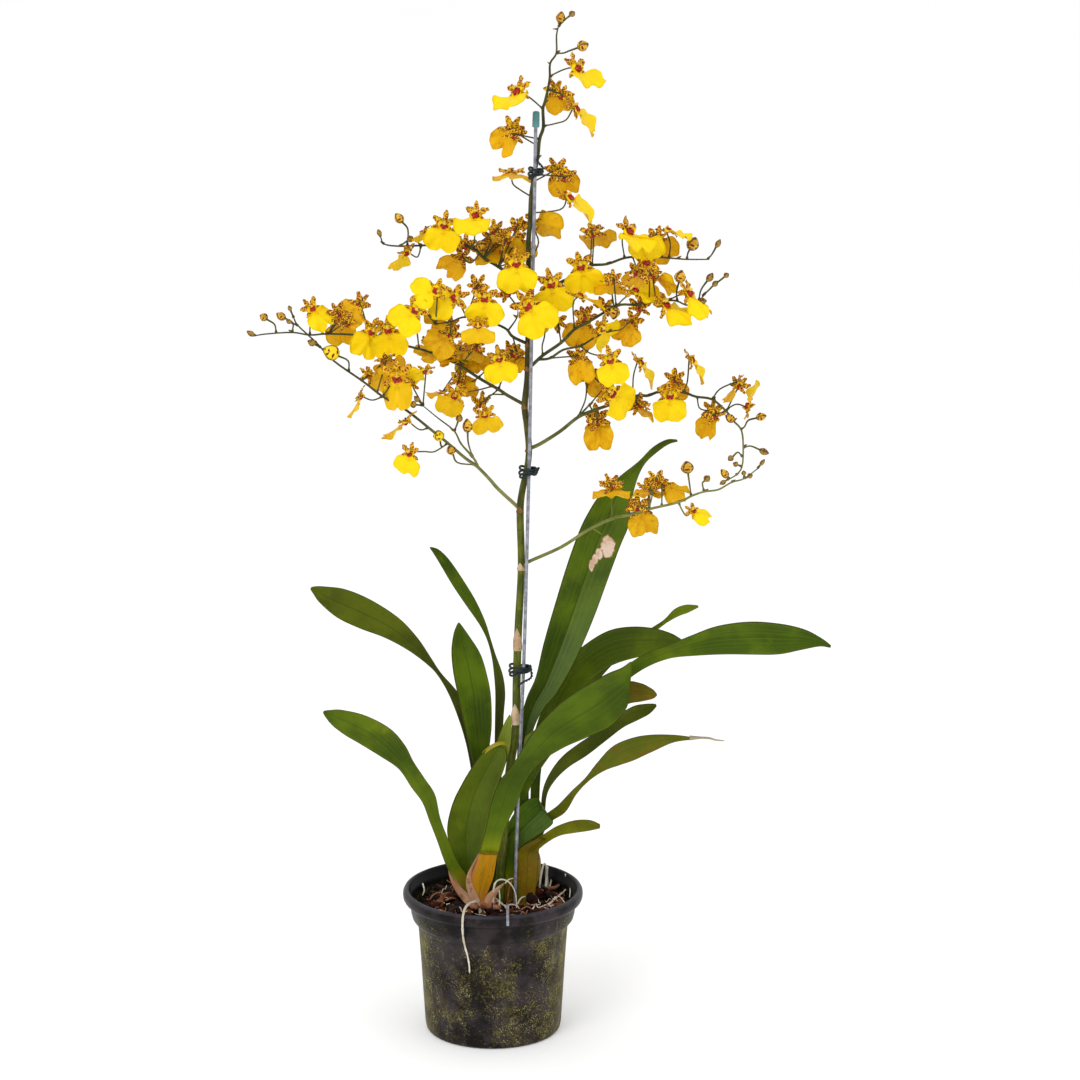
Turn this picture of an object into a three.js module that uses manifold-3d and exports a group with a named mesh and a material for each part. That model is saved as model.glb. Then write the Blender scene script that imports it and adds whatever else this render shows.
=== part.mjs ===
// A potted oncidium orchid: plastic nursery pot, bark, leaves, old bulbs, a staked flower stem
// and nine sprays of yellow flowers. Millimetres, +Z up, origin at the centre of the pot's base.
import * as THREE from "three";
import Module from "manifold-3d";

const wasm = await Module();
wasm.setup();

// ---------------------------------------------------------------- driving dimensions
const RIM_RADIUS = 65;
const POT_HEIGHT = 106;
const POT_FLOOR = 2.2;
const POT_SIDES = 20;
const DRAIN_HOLES = 6;
const DRAIN_RING = 30;
const DRAIN_RADIUS = 4.5;
const BARK_TOP = 92;
const GAP = 0.3;
const STAKE_RADIUS = 1.25;
const STAKE_DEPTH = -4.6;
const TIE_WIRE = 0.9;
const RIB_HALF = 0.85;
const EDGE_HALF = 0.48;
const PETAL_THICKNESS = 0.7;
const LIP_HALF_WIDTH = 14;
const LIP_LENGTH = 21.5;
const TEPAL_LENGTH = 10.5;
const PEDICEL_RADIUS = 0.65;
const PEDICEL_SIDES = 3;
const BRANCH_SIDES = 4;
const BUD_SIDES = 4;
const SEED = 20260;

// The plant is laid out as it shows from one viewpoint in front of it: a place is written as
// [across, up] on the upright plane y = 0, and its depth then moves it along the sight line.
const EYE = new THREE.Vector3(34, -2800, 1090);

function onSight(across, up, depth) {
  const place = new THREE.Vector3(across, 0, up).sub(EYE);
  return place.multiplyScalar(1 + depth / -EYE.y).add(EYE);
}

let seedState = SEED;
function random() {
  seedState = (seedState * 16807) % 2147483647;
  return seedState / 2147483647;
}

function spread(width) {
  return (random() - 0.5) * 2 * width;
}

// ---------------------------------------------------------------- solids
function solidFrom(points, triangles) {
  const vertProperties = new Float32Array(points.flatMap((p) => [p.x, p.y, p.z]));
  const triVerts = new Uint32Array(triangles.flat());
  return new wasm.Manifold(new wasm.Mesh({ numProp: 3, vertProperties, triVerts }));
}

function join(solids) {
  return solids.reduce((sum, solid) => sum.add(solid));
}

function smooth(points, steps) {
  if (points.length < 3) {
    return points;
  }
  const curve = new THREE.CatmullRomCurve3(points, false, "centripetal");
  return curve.getPoints((points.length - 1) * steps);
}

// A round bar along a route, with a radius at each of its points.
function bar(route, radii, sides = 6) {
  const points = [];
  const triangles = [];
  let side = new THREE.Vector3(0.31, 0.87, 0.38);
  route.forEach((place, i) => {
    const before = route[Math.max(i - 1, 0)];
    const after = route[Math.min(i + 1, route.length - 1)];
    const along = after.clone().sub(before).normalize();
    side = side.clone().addScaledVector(along, -side.dot(along)).normalize();
    const across = along.clone().cross(side);
    const radius = Array.isArray(radii) ? radii[i] : radii;
    for (let k = 0; k < sides; k += 1) {
      const angle = (2 * Math.PI * k) / sides;
      points.push(place.clone()
        .addScaledVector(side, radius * Math.cos(angle))
        .addScaledVector(across, radius * Math.sin(angle)));
    }
  });
  for (let i = 0; i < route.length - 1; i += 1) {
    for (let k = 0; k < sides; k += 1) {
      const a = i * sides + k;
      const b = i * sides + ((k + 1) % sides);
      triangles.push([a, b, b + sides], [a, b + sides, a + sides]);
    }
  }
  const last = (route.length - 1) * sides;
  for (let k = 1; k < sides - 1; k += 1) {
    triangles.push([0, k + 1, k], [last, last + k, last + k + 1]);
  }
  return solidFrom(points, triangles);
}

// A closed ring of round wire through a loop of places.
function ring(route, radius, sides = 4) {
  const count = route.length;
  const points = [];
  const triangles = [];
  const up = new THREE.Vector3(0, 0, 1);
  route.forEach((place, i) => {
    const along = route[(i + 1) % count].clone().sub(route[(i + count - 1) % count]).normalize();
    const outward = along.clone().cross(up).normalize();
    for (let k = 0; k < sides; k += 1) {
      const angle = (2 * Math.PI * k) / sides;
      points.push(place.clone()
        .addScaledVector(outward, radius * Math.cos(angle))
        .addScaledVector(up, radius * Math.sin(angle)));
    }
  });
  for (let i = 0; i < count; i += 1) {
    for (let k = 0; k < sides; k += 1) {
      const a = i * sides + k;
      const b = i * sides + ((k + 1) % sides);
      const c = ((i + 1) % count) * sides + ((k + 1) % sides);
      const d = ((i + 1) % count) * sides + k;
      triangles.push([a, c, b], [a, d, c]);
    }
  }
  return solidFrom(points, triangles);
}

// A turned solid from a closed [radius, height] outline that starts and ends on the axis.
function turned(outline, sides, x = 0, y = 0) {
  const points = [];
  const triangles = [];
  const rows = [];
  outline.forEach(([radius, height]) => {
    if (radius === 0) {
      rows.push([points.length]);
      points.push(new THREE.Vector3(x, y, height));
      return;
    }
    const row = [];
    for (let k = 0; k < sides; k += 1) {
      const angle = (2 * Math.PI * k) / sides;
      row.push(points.length);
      points.push(new THREE.Vector3(x + radius * Math.cos(angle), y + radius * Math.sin(angle), height));
    }
    rows.push(row);
  });
  for (let i = 0; i < rows.length - 1; i += 1) {
    const low = rows[i];
    const high = rows[i + 1];
    for (let k = 0; k < sides; k += 1) {
      const next = (k + 1) % sides;
      if (low.length === 1) {
        triangles.push([low[0], high[next], high[k]]);
      } else if (high.length === 1) {
        triangles.push([low[k], low[next], high[0]]);
      } else {
        triangles.push([low[k], low[next], high[next]], [low[k], high[next], high[k]]);
      }
    }
  }
  return solidFrom(points, triangles);
}

// A block from its eight corners, which count up along x, then y, then z.
function block(corners) {
  const faces = [[0, 2, 1], [1, 2, 3], [4, 5, 6], [5, 7, 6], [0, 1, 4], [1, 5, 4],
    [2, 6, 3], [3, 6, 7], [0, 4, 2], [2, 4, 6], [1, 3, 5], [3, 7, 5]];
  return solidFrom(corners, faces);
}

// A thin plate: an outline in the plane of two axes, lifted along the third by each point's rise.
function plate(loop, thickness, frame) {
  const outline = THREE.ShapeUtils.isClockWise(loop.map(([x, y]) => ({ x, y }))) ? [...loop].reverse() : loop;
  const flat = outline.map(([across, along]) => new THREE.Vector2(across, along));
  const faces = THREE.ShapeUtils.triangulateShape(flat, []);
  const points = [];
  [thickness / 2, -thickness / 2].forEach((side) => {
    outline.forEach(([across, along, rise]) => {
      points.push(frame.origin.clone()
        .addScaledVector(frame.across, across)
        .addScaledVector(frame.along, along)
        .addScaledVector(frame.out, rise + side));
    });
  });
  const count = outline.length;
  const triangles = faces.flatMap(([a, b, c]) => [[a, b, c], [a + count, c + count, b + count]]);
  for (let i = 0; i < count; i += 1) {
    const next = (i + 1) % count;
    triangles.push([i, i + count, next + count], [i, next + count, next]);
  }
  const solid = solidFrom(points, triangles);
  return solid.volume() > 0 ? solid : solidFrom(points, triangles.map(([a, b, c]) => [a, c, b]));
}

// ---------------------------------------------------------------- pot, bark, roots
const POT_OUTLINE = [
  [0, 0], [46.4, 0], [48.7, 1.3], [49.4, 6], [52, 49], [54.3, 81], [57.8, 83.5], [59.2, 88],
  [59.8, 97], [62.6, 97], [64.6, 98.8], [RIM_RADIUS, 102], [64.2, 105], [62.4, POT_HEIGHT],
  [60.4, 105], [58.3, 97], [57.6, 88.6], [56.2, 84.9], [52.9, 82.3], [50.5, 49], [47.9, 6],
  [46, POT_FLOOR], [0, POT_FLOOR],
];

function makePot() {
  const shell = turned(POT_OUTLINE, POT_SIDES);
  const holes = [];
  for (let k = 0; k < DRAIN_HOLES; k += 1) {
    const angle = (2 * Math.PI * (k + 0.5)) / DRAIN_HOLES;
    const hole = [[0, -5], [DRAIN_RADIUS, -5], [DRAIN_RADIUS, 8], [0, 8]];
    holes.push(turned(hole, 8, DRAIN_RING * Math.cos(angle), DRAIN_RING * Math.sin(angle)));
  }
  return holes.reduce((pot, hole) => pot.subtract(hole), shell);
}

const BARK_BOTTOM = POT_FLOOR + GAP;
const BARK_WALL = [[45.3, BARK_BOTTOM], [49.8, 49], [52, 81]];
// [radius of the ring, height above the bark's level]
const BARK_RINGS = [[53.6, -4], [42, 0.5], [24, 2]];

function makeBark(cuts) {
  const points = [];
  const triangles = [];
  const rows = BARK_WALL.concat(BARK_RINGS.map(([radius, rise]) => [radius, BARK_TOP + rise]));
  rows.forEach(([radius, height], i) => {
    const rough = i >= BARK_WALL.length ? 1.8 : 0;
    for (let k = 0; k < POT_SIDES; k += 1) {
      const angle = (2 * Math.PI * k) / POT_SIDES;
      const lift = height + spread(rough);
      points.push(new THREE.Vector3(radius * Math.cos(angle), radius * Math.sin(angle), lift));
    }
  });
  for (let i = 0; i < rows.length - 1; i += 1) {
    for (let k = 0; k < POT_SIDES; k += 1) {
      const next = (k + 1) % POT_SIDES;
      const a = i * POT_SIDES + k;
      const b = i * POT_SIDES + next;
      triangles.push([a, b, b + POT_SIDES], [a, b + POT_SIDES, a + POT_SIDES]);
    }
  }
  const last = (rows.length - 1) * POT_SIDES;
  points.push(new THREE.Vector3(0, 0, BARK_BOTTOM), new THREE.Vector3(0, 0, BARK_TOP + 3));
  for (let k = 0; k < POT_SIDES; k += 1) {
    const next = (k + 1) % POT_SIDES;
    triangles.push([points.length - 2, next, k], [points.length - 1, last + k, last + next]);
  }
  const bark = join([solidFrom(points, triangles), ...makeChips()]);
  return cuts.reduce((sum, cut) => sum.subtract(cut), bark);
}

// Bark chips lie half sunk in the surface, spaced by the golden angle.
const CHIP_COUNT = 9;
const GOLDEN_ANGLE = Math.PI * (3 - Math.sqrt(5));

function makeChips() {
  const chips = [];
  for (let i = 0; i < CHIP_COUNT; i += 1) {
    const radius = 19 + 28 * Math.sqrt(i / CHIP_COUNT);
    const angle = i * GOLDEN_ANGLE;
    const size = [5 + spread(1.5), 3.4 + spread(0.8), 2.2 + spread(0.5)];
    const turn = new THREE.Euler(spread(0.5), spread(0.5), spread(3));
    const centre = new THREE.Vector3(radius * Math.cos(angle), radius * Math.sin(angle), BARK_TOP + 1);
    const corners = [];
    for (let c = 0; c < 8; c += 1) {
      const signs = [c & 1 ? 1 : -1, c & 2 ? 1 : -1, c & 4 ? 1 : -1];
      const corner = new THREE.Vector3(...signs.map((sign, axis) => sign * size[axis]));
      corners.push(corner.applyEuler(turn).add(centre));
    }
    chips.push(block(corners));
  }
  return chips;
}

// Roots as [across, up, depth] places and a radius.
const ROOTS = {
  root_over_rim: {
    radius: 1.1,
    route: [[-8.5, 83, -21], [-11, 93.5, -24], [-15.5, 94, -38], [-19.5, 90.8, -53], [-21.3, 86, -60.3],
      [-22, 80.5, -63], [-22.1, 74, -62.5], [-21.6, 67, -57.8], [-20.3, 60, -53], [-18.5, 53, -52],
      [-17.4, 46, -51.8], [-17.1, 40, -51.4]],
  },
  root_arch: {
    radius: 0.8,
    route: [[0, 84, -18], [0.5, 104, -19], [3, 110.5, -19], [8, 111.5, -19], [13, 108, -19], [16.4, 100, -19],
      [17.4, 84, -19]],
  },
  root_front: {
    radius: 0.8,
    route: [[0.5, 85, -12], [1.5, 96, -12], [5, 93.6, -12.6], [9, 91.8, -13], [14, 92.6, -13], [18.5, 90.4, -13],
      [19.5, 83, -13]],
  },
  root_right: {
    radius: 0.9,
    route: [[33, 92, 24], [34, 110, 33], [36.5, 123, 40], [38.6, 121, 41], [39.6, 108, 38], [41, 95, 31]],
  },
};

function makeRoot(name) {
  const { radius, route } = ROOTS[name];
  const places = route.map((place) => onSight(...place));
  return (extra = 0) => bar(places, radius + extra, 5);
}

// ---------------------------------------------------------------- stem, stake, ties
// [across, up, radius]
const STEM = [
  [4, 76, 3.4], [4.4, 95, 3.4], [8, 150, 3.3], [12.5, 196, 3.1], [16.6, 225, 3], [17.4, 262, 2.9],
  [18.6, 300, 2.8], [20.8, 345, 2.6], [20, 384, 2.6], [21.4, 400, 2.4], [25, 417, 2.3], [26.2, 431, 2.3],
  [24.8, 448, 2.3], [23.3, 462, 2.3], [25.2, 482, 2.2], [25.8, 505, 2.2], [26.2, 540, 2], [26, 556, 1.9],
];
const STEM_DEPTH = 0;

function makeStem() {
  const route = STEM.map(([across, up]) => onSight(across, up, STEM_DEPTH));
  return (extra = 0) => bar(route, STEM.map(([, , radius]) => radius + extra), 6);
}

const STAKE = [[15.6, 62], [15.9, 95], [18.2, 172], [22.5, 275], [24.6, 350], [26.6, 430], [27.6, 485],
  [28.8, 545], [30, 600], [31, 655], [31.2, 664]];
const CAP_LENGTH = 11;
const CAP_RADIUS = 2.5;

function makeStake() {
  const route = STAKE.map(([across, up]) => onSight(across, up, STAKE_DEPTH));
  return (extra = 0) => bar(route, STAKE_RADIUS + extra, 6);
}

function makeCap(stake) {
  const top = onSight(31.4, 669.5, STAKE_DEPTH);
  const foot = top.clone().add(new THREE.Vector3(-0.3, 0, -CAP_LENGTH));
  const shell = bar([foot, foot.clone().lerp(top, 0.93), top], [CAP_RADIUS, CAP_RADIUS, 1.9], 8);
  return shell.subtract(stake(GAP));
}

// The end of a second wire hooks over the front of the rim.
const HOOK = [[10.6, 70, -48], [10.6, 88.6, -54], [10.6, 90.6, -58], [10.6, 87.6, -63], [10.6, 83, -65.9],
  [10.6, 76.5, -65.7]];

function makeHook() {
  const route = HOOK.map((place) => onSight(...place));
  return (extra = 0) => bar(route, 1.05 + extra, 6);
}

// up is the loop's height on the stem, centre and half its place and half size as [across, depth],
// and tail the places of its twisted end.
const TIES = {
  tie_low: { up: 270, centre: [19.7, -1.6], half: [7.6, 6.1], tail: [[27, 272], [28, 264], [22, 260], [18, 257]] },
  tie_middle: { up: 415, centre: [25.6, -1.9], half: [6.2, 5.9], tail: [[31, 415], [33, 417], [31.5, 413], [29.5, 412]] },
  tie_top: { up: 627, centre: [31, -1.9], half: [4.9, 5.6], tail: [[34, 627], [35.8, 630], [32, 635], [32.6, 639]] },
};
const TIE_STEPS = 10;

function makeTie(name) {
  const { up, centre, half, tail } = TIES[name];
  const loop = [];
  for (let k = 0; k < TIE_STEPS; k += 1) {
    const angle = (2 * Math.PI * k) / TIE_STEPS;
    const tilt = 0.9 * Math.cos(angle);
    const place = onSight(centre[0] + half[0] * Math.cos(angle), up + tilt, 0);
    place.y = centre[1] + half[1] * Math.sin(angle);
    loop.push(place);
  }
  const start = onSight(centre[0] + half[0], up + 0.9, 0);
  start.y = centre[1];
  const depth = centre[1] - half[1] - 1;
  const ends = [start, ...tail.map(([across, high]) => onSight(across, high, depth))];
  return join([ring(loop, TIE_WIRE), bar(ends, TIE_WIRE, 4)]);
}

// ---------------------------------------------------------------- bulbs and leaves
// An old bulb is a flattened spindle: [across, up, half width] from its foot to its tip.
const BULBS = {
  bulb_old: { depth: 6, flat: 0.55, rows: [[20, 84, 4], [22, 98, 6.8], [25.5, 118, 8.8], [26.5, 130, 7.4], [27, 135.5, 3.4]] },
  bulb_green: { depth: 5.5, flat: 0.5, rows: [[11, 84, 3], [10.5, 98, 4], [10.5, 113, 4.6], [11.5, 126, 3.4], [12, 131, 1.6]] },
};
const BULB_SIDES = 10;

function makeBulb(name, extra = 0) {
  const { depth, flat, rows } = BULBS[name];
  const points = [];
  const triangles = [];
  rows.forEach(([across, up, half], i) => {
    const drop = i === 0 ? extra : 0;
    for (let k = 0; k < BULB_SIDES; k += 1) {
      const angle = (2 * Math.PI * k) / BULB_SIDES;
      const place = onSight(across + (half + extra) * Math.cos(angle), up - drop, depth);
      place.y += (half * flat + extra) * Math.sin(angle);
      points.push(place);
    }
  });
  for (let i = 0; i < rows.length - 1; i += 1) {
    for (let k = 0; k < BULB_SIDES; k += 1) {
      const a = i * BULB_SIDES + k;
      const b = i * BULB_SIDES + ((k + 1) % BULB_SIDES);
      triangles.push([a, b, b + BULB_SIDES], [a, b + BULB_SIDES, a + BULB_SIDES]);
    }
  }
  const last = (rows.length - 1) * BULB_SIDES;
  for (let k = 1; k < BULB_SIDES - 1; k += 1) {
    triangles.push([0, k + 1, k], [last, last + k, last + k + 1]);
  }
  return solidFrom(points, triangles);
}

// Leaves: each row is [across, up of one edge, across, up of the other edge, depth, slant], from
// foot to tip. slant is how much deeper the second edge lies than the first, and keel is the depth
// of the fold along the midrib.
const LEAVES = {
  leaf_left_upper: {
    keel: 2.6,
    rows: [[-9, 84, -4, 84, 14, 0], [-12, 130, -5, 130, 15, 0], [-14, 180, -4, 182, 16, 2],
      [-17, 205, -6, 210, 17, 3], [-22, 226, -13, 232, 18, 4], [-30, 249, -24, 252, 20, 3],
      [-38.6, 265, -36.4, 267, 22, 2], [-47, 274, -44, 279, 24, 3], [-60, 284, -53, 293, 26, 4],
      [-76, 293, -66, 307.5, 28, 6], [-94, 300, -86, 321, 30, 6], [-110, 308, -104, 328.8, 32, 6],
      [-122, 318.7, -118.3, 330.8, 34, 4], [-126.6, 325.4, -124.6, 331, 35, 2],
      [-128.8, 328.8, -128.2, 330.2, 35.4, 0]],
  },
  leaf_left_lower: {
    keel: 2.4,
    rows: [[-13, 84, -8.5, 84, -10, 3], [-17, 94, -10.6, 98, -11, 4], [-26, 108, -17, 112, -12, 4],
      [-33.5, 122, -25.4, 125, -14, 3], [-40, 141, -31.6, 141, -17, 2], [-45.4, 156, -37.6, 158, -20, 2],
      [-50.4, 170, -41.4, 176, -23, 2], [-58, 181, -48.6, 188, -26, 2], [-67, 195, -56.6, 201, -29, 4],
      [-80, 204.6, -62.6, 213, -32, 6], [-93, 213, -73, 225.4, -35, 6], [-105, 220.4, -90, 235, -38, 6],
      [-114, 227.6, -107, 239.4, -41, 4], [-118.8, 233.6, -115.6, 239.4, -42.4, 2],
      [-121, 237.4, -120.4, 238.8, -43, 0]],
  },
  leaf_back_upright: {
    keel: 2.6,
    rows: [[-2, 84, 2, 84, 10, 0], [-4, 130, 1.6, 130, 10.6, 0], [-9, 180, -0.6, 180, 11, 0],
      [-15, 205, -2.4, 205, 11, 2], [-20, 228, -0.6, 228, 11.6, 4], [-24.4, 250, -0.9, 250, 12.4, 6],
      [-27.8, 268, -3.8, 266, 13.6, 6], [-29, 283, -8.4, 281, 15, 6], [-27.5, 295.1, -15.4, 293, 16.4, 4],
      [-25.4, 301.4, -20, 300, 17.6, 2], [-24, 304.4, -23, 304, 18, 0]],
  },
  leaf_narrow: {
    keel: 1.4,
    rows: [[3.6, 84, 6.6, 84, 16, 0], [1.4, 150, 6, 150, 17, 0], [1.4, 200, 6.6, 200, 20, 0],
      [2, 235, 8, 235, 22, 1], [2.2, 252, 9.1, 252, 23.4, 1], [1.4, 265, 7.4, 266, 24.6, 1],
      [-0.4, 279, 2.2, 281, 26, 0], [-3.6, 291.6, -1.2, 292.4, 27, 0], [-9, 303, -4.8, 304.6, 28, 1],
      [-19, 318, -11.6, 320.6, 30, 2], [-28.6, 333, -20, 335, 32, 2], [-37.4, 348.6, -30, 350, 34, 1],
      [-41.6, 355.6, -37.4, 357.6, 35, 0], [-44, 359.2, -43.3, 359.8, 35.4, 0]],
  },
  leaf_tall: {
    keel: 3.4,
    rows: [[21, 84, 25.6, 84, 18, 0], [19, 150, 26, 150, 17, 0], [17.6, 200, 26, 198, 16, 0],
      [19.6, 228, 28.6, 222, 16, 1], [24.4, 248, 36.4, 240, 17, 2], [31, 264, 46, 252.6, 18, 4],
      [36.8, 289, 60, 278, 20, 6], [46.4, 324, 74.4, 314, 23, 7],
      [60, 367, 90, 358.6, 27, 6], [69, 386.4, 96.4, 375, 29, 5], [78, 399.6, 98.6, 393, 31, 3],
      [90.6, 411.4, 102.6, 409.4, 33, 2], [103, 421.6, 108.4, 421, 35, 0], [113, 432, 118, 430, 37, -1],
      [122.6, 437.6, 125, 434.6, 39, -1], [130, 437.8, 130.8, 436.2, 41, 0]],
  },
  leaf_arching: {
    keel: 2.6,
    rows: [[28, 84, 32, 84, 22, 0], [27, 150, 33, 150, 23, 0], [28, 200, 35, 196, 24, 0],
      [31, 226, 42, 219, 25, 0], [40, 250, 54, 238, 26, 1], [52, 274, 66, 257, 27, 3],
      [66, 288, 78, 268.4, 28, 5], [82.4, 298, 88.4, 274, 30, 6], [99, 301, 101.6, 278, 32, 6],
      [115, 300, 114, 281, 34, 5], [127, 296.4, 126, 284.6, 36, 3], [135.4, 291.4, 135, 288.4, 38, 0]],
  },
  leaf_small_back: {
    keel: 1,
    rows: [[35, 84, 38.4, 84, 33, 0], [38, 160, 42.4, 158, 36, 0], [44, 215, 49, 212, 38, 0],
      [62, 254, 67, 250, 39, 0], [86, 280, 89, 277, 40, 0], [106, 295.6, 108.4, 292.6, 42, 0],
      [115, 301.4, 118, 299.6, 43, 0], [122.4, 306.6, 124.8, 304.8, 44, 0], [129.4, 314, 132.4, 309, 45, 0],
      [137, 317.2, 139.4, 311.6, 46, 0], [146, 317, 146.6, 315.4, 47, 0]],
  },
  leaf_far_right: {
    keel: 2.2,
    rows: [[14.4, 84, 19, 84, 10.4, 0], [14.4, 140, 20, 138, 11.4, 0], [18.4, 180, 25, 176, 12, 0],
      [37, 216, 44, 209, 9, 0], [66, 246, 71, 239, 6, 0],
      [90, 267.6, 93, 259, 4, 0], [106, 279.6, 109, 270.6, 2, 0], [124, 287, 126, 277.6, 0, 2],
      [142, 295, 143, 279.8, -3, 4], [160, 301.6, 160, 280.6, -6, 6], [184, 304.8, 184, 280.6, -10, 7],
      [205, 303.4, 204, 281, -14, 6], [222, 299, 220, 284, -17, 4], [234, 292.6, 233, 286.6, -19, 2],
      [241, 287.4, 240.6, 285.6, -20, 0]],
  },
  leaf_front_broad: {
    keel: 3,
    rows: [[-16, 84, -11, 84, -3, 0], [-18.6, 104, -11, 104, -3, 0], [-24, 120, -11, 122, -3.4, 2],
      [-31, 138, -7.4, 140, -4.4, 5], [-32.6, 152, -3.4, 154, -5.4, 7], [-28.6, 170, 0.4, 172, -7, 7],
      [-21.4, 185, 4, 184, -8, 7], [-13, 199, 8, 194, -8.6, 5], [-5, 209.4, 10, 204, -8.6, 3],
      [1, 213.8, 9, 210.4, -8, 1]],
  },
  leaf_big_front: {
    keel: 3.2,
    rows: [[-12, 84, -4.4, 84, -15, 0], [-15, 100, -3.4, 101, -16, 0], [-12.6, 118, 0.6, 118, -17, 1],
      [-8.6, 135, 4.6, 135, -17.4, 1], [-4.6, 152, 9, 151, -17.6, 2], [-1, 170, 17, 168, -18, 3],
      [5, 186, 23, 185, -19, 4], [15, 199, 33, 199, -21, 5], [29, 223, 50, 211, -25, 6],
      [46, 242, 68, 219, -30, 8], [64, 256, 84, 227, -36, 9], [81, 266, 94, 238, -42, 8],
      [92, 270.6, 97.4, 247, -46, 5], [98.8, 275.6, 98.6, 262, -48, 1]],
  },
  leaf_speckled: {
    keel: 1.8,
    rows: [[-7.6, 84, -3.6, 84, -10.8, 0], [-7.2, 108, -2.6, 108, -11.4, 0], [-2, 136, 3, 136, -12, 0],
      [4, 164, 10, 162, -12.6, 0], [16, 190, 22.6, 186, -13.6, 0], [33, 211, 40, 204.6, -15, 0],
      [48, 226, 56, 217, -17, 1], [62, 237, 70, 226, -20, 1], [78, 250, 84, 235, -23, 2],
      [94, 260, 96, 243.4, -26, 3], [105, 259.4, 106, 245.6, -28, 3], [113.4, 255.4, 114, 247.6, -30, 1],
      [117.2, 251.8, 117.4, 250, -31, 0]],
  },
  leaf_dark_petiole: {
    keel: 2,
    rows: [[31.6, 84, 34.6, 84, 12, 0], [32.6, 125, 35.4, 125, 13, 0], [34, 160, 37, 159, 12, 0],
      [36, 179, 39, 176, 10, 0], [41, 192, 45, 187, 8, 0], [50, 204.6, 55, 197, 6, 1],
      [62, 214.6, 67.6, 205.6, 3, 2], [76, 224, 82, 217, 0, 2], [88, 234, 94, 226.6, -3, 3],
      [100, 242, 104, 232, -6, 3], [109, 244, 112, 236.6, -9, 2], [116.6, 244, 117.2, 242, -11, 0]],
  },
  leaf_olive: {
    keel: 2,
    rows: [[38, 84, 41.4, 84, 16, 0], [38.6, 130, 42.6, 128, 12, 0], [40.6, 158, 45, 154, 10, 0],
      [47, 168, 52, 162.6, 5, 0], [57, 179, 60, 176, -4, 0], [66.4, 188.4, 69, 186.2, -10, 0],
      [75, 200, 80, 194, -15, 2], [86, 212, 91, 198, -20, 4], [100, 218.4, 101, 201.6, -26, 5],
      [114, 221, 113, 207.6, -31, 4], [129, 220.8, 129, 215, -36, 2], [144, 219, 144, 217.4, -41, 0]],
  },
  leaf_low_right: {
    keel: 1.4,
    rows: [[17, 84, 20, 84, -0.9, 0], [17.4, 104, 20.6, 104, -1, 0], [18, 119, 22.4, 115, -1.6, 0],
      [20, 131.6, 25, 126, -3, 0], [27, 140.6, 33, 134.4, -6, 0], [36, 145.4, 41, 140.8, -10, 0],
      [46, 152, 49, 145.2, -15, 1], [58, 156.4, 59, 147.2, -20, 2], [69, 156.8, 69, 148.6, -25, 1],
      [77, 153.8, 77, 150.4, -28, 0]],
  },
  leaf_dark_short: {
    keel: 2,
    rows: [[9, 133, 13.4, 132, 6.4, 0], [8.4, 141, 17.6, 134, 5.6, -4.4], [9.4, 149.6, 24.6, 140, 5, -4.4],
      [13.6, 159, 33, 145.6, 5, -4.4], [20, 168, 41, 151.6, 5.4, -4], [27, 173.2, 43.4, 155.6, 6, -3],
      [32, 173.6, 40, 160, 6.4, -2], [34.4, 169.6, 37.4, 164.4, 6.6, 0]],
  },
};

const SOCKET_TOP = 98;
const FOOT_TOP = 103;

// extra grows a leaf's foot all round.
function makeLeaf(name, extra = 0) {
  const { keel } = LEAVES[name];
  const clear = LEAVES[name].rows.findIndex(([, up]) => up > FOOT_TOP);
  const rows = extra > 0 ? LEAVES[name].rows.slice(0, clear + 2) : LEAVES[name].rows;
  const lines = rows.map(([x1, z1, x2, z2, depth, slant], i) => {
    const drop = i === 0 ? extra : 0;
    return {
      left: onSight(x1 - extra, z1 - drop, depth - slant / 2),
      right: onSight(x2 + extra, z2 - drop, depth + slant / 2),
    };
  });
  const widest = Math.max(...LEAVES[name].rows.map(([x1, z1, x2, z2]) => Math.hypot(x2 - x1, z2 - z1)));
  const points = [];
  lines.forEach(({ left, right }, i) => {
    const before = lines[Math.max(i - 1, 0)];
    const after = lines[Math.min(i + 1, lines.length - 1)];
    const along = after.left.clone().add(after.right).sub(before.left).sub(before.right);
    const out = along.cross(right.clone().sub(left)).normalize();
    const share = left.distanceTo(right) / widest;
    const middle = left.clone().lerp(right, 0.5).addScaledVector(out, keel * Math.min(1, share * 1.3));
    [[left, EDGE_HALF], [middle, RIB_HALF], [right, EDGE_HALF]].forEach(([place, half]) => {
      points.push(place.clone().addScaledVector(out, half + extra));
      points.push(place.clone().addScaledVector(out, -half - extra));
    });
  });
  const triangles = [];
  for (let i = 0; i < lines.length - 1; i += 1) {
    const a = i * 6;
    const b = a + 6;
    for (let k = 0; k < 4; k += 2) {
      triangles.push([a + k, a + k + 2, b + k + 2], [a + k, b + k + 2, b + k]);
      triangles.push([a + k + 1, b + k + 3, a + k + 3], [a + k + 1, b + k + 1, b + k + 3]);
    }
    triangles.push([a, b, b + 1], [a, b + 1, a + 1], [a + 4, b + 5, b + 4], [a + 4, a + 5, b + 5]);
  }
  const e = (lines.length - 1) * 6;
  triangles.push([0, 1, 3], [0, 3, 2], [2, 3, 5], [2, 5, 4]);
  triangles.push([e, e + 3, e + 1], [e, e + 2, e + 3], [e + 2, e + 5, e + 3], [e + 2, e + 4, e + 5]);
  const solid = solidFrom(points, triangles);
  return solid.volume() > 0 ? solid : solidFrom(points, triangles.map(([p, q, r]) => [p, r, q]));
}

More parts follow.
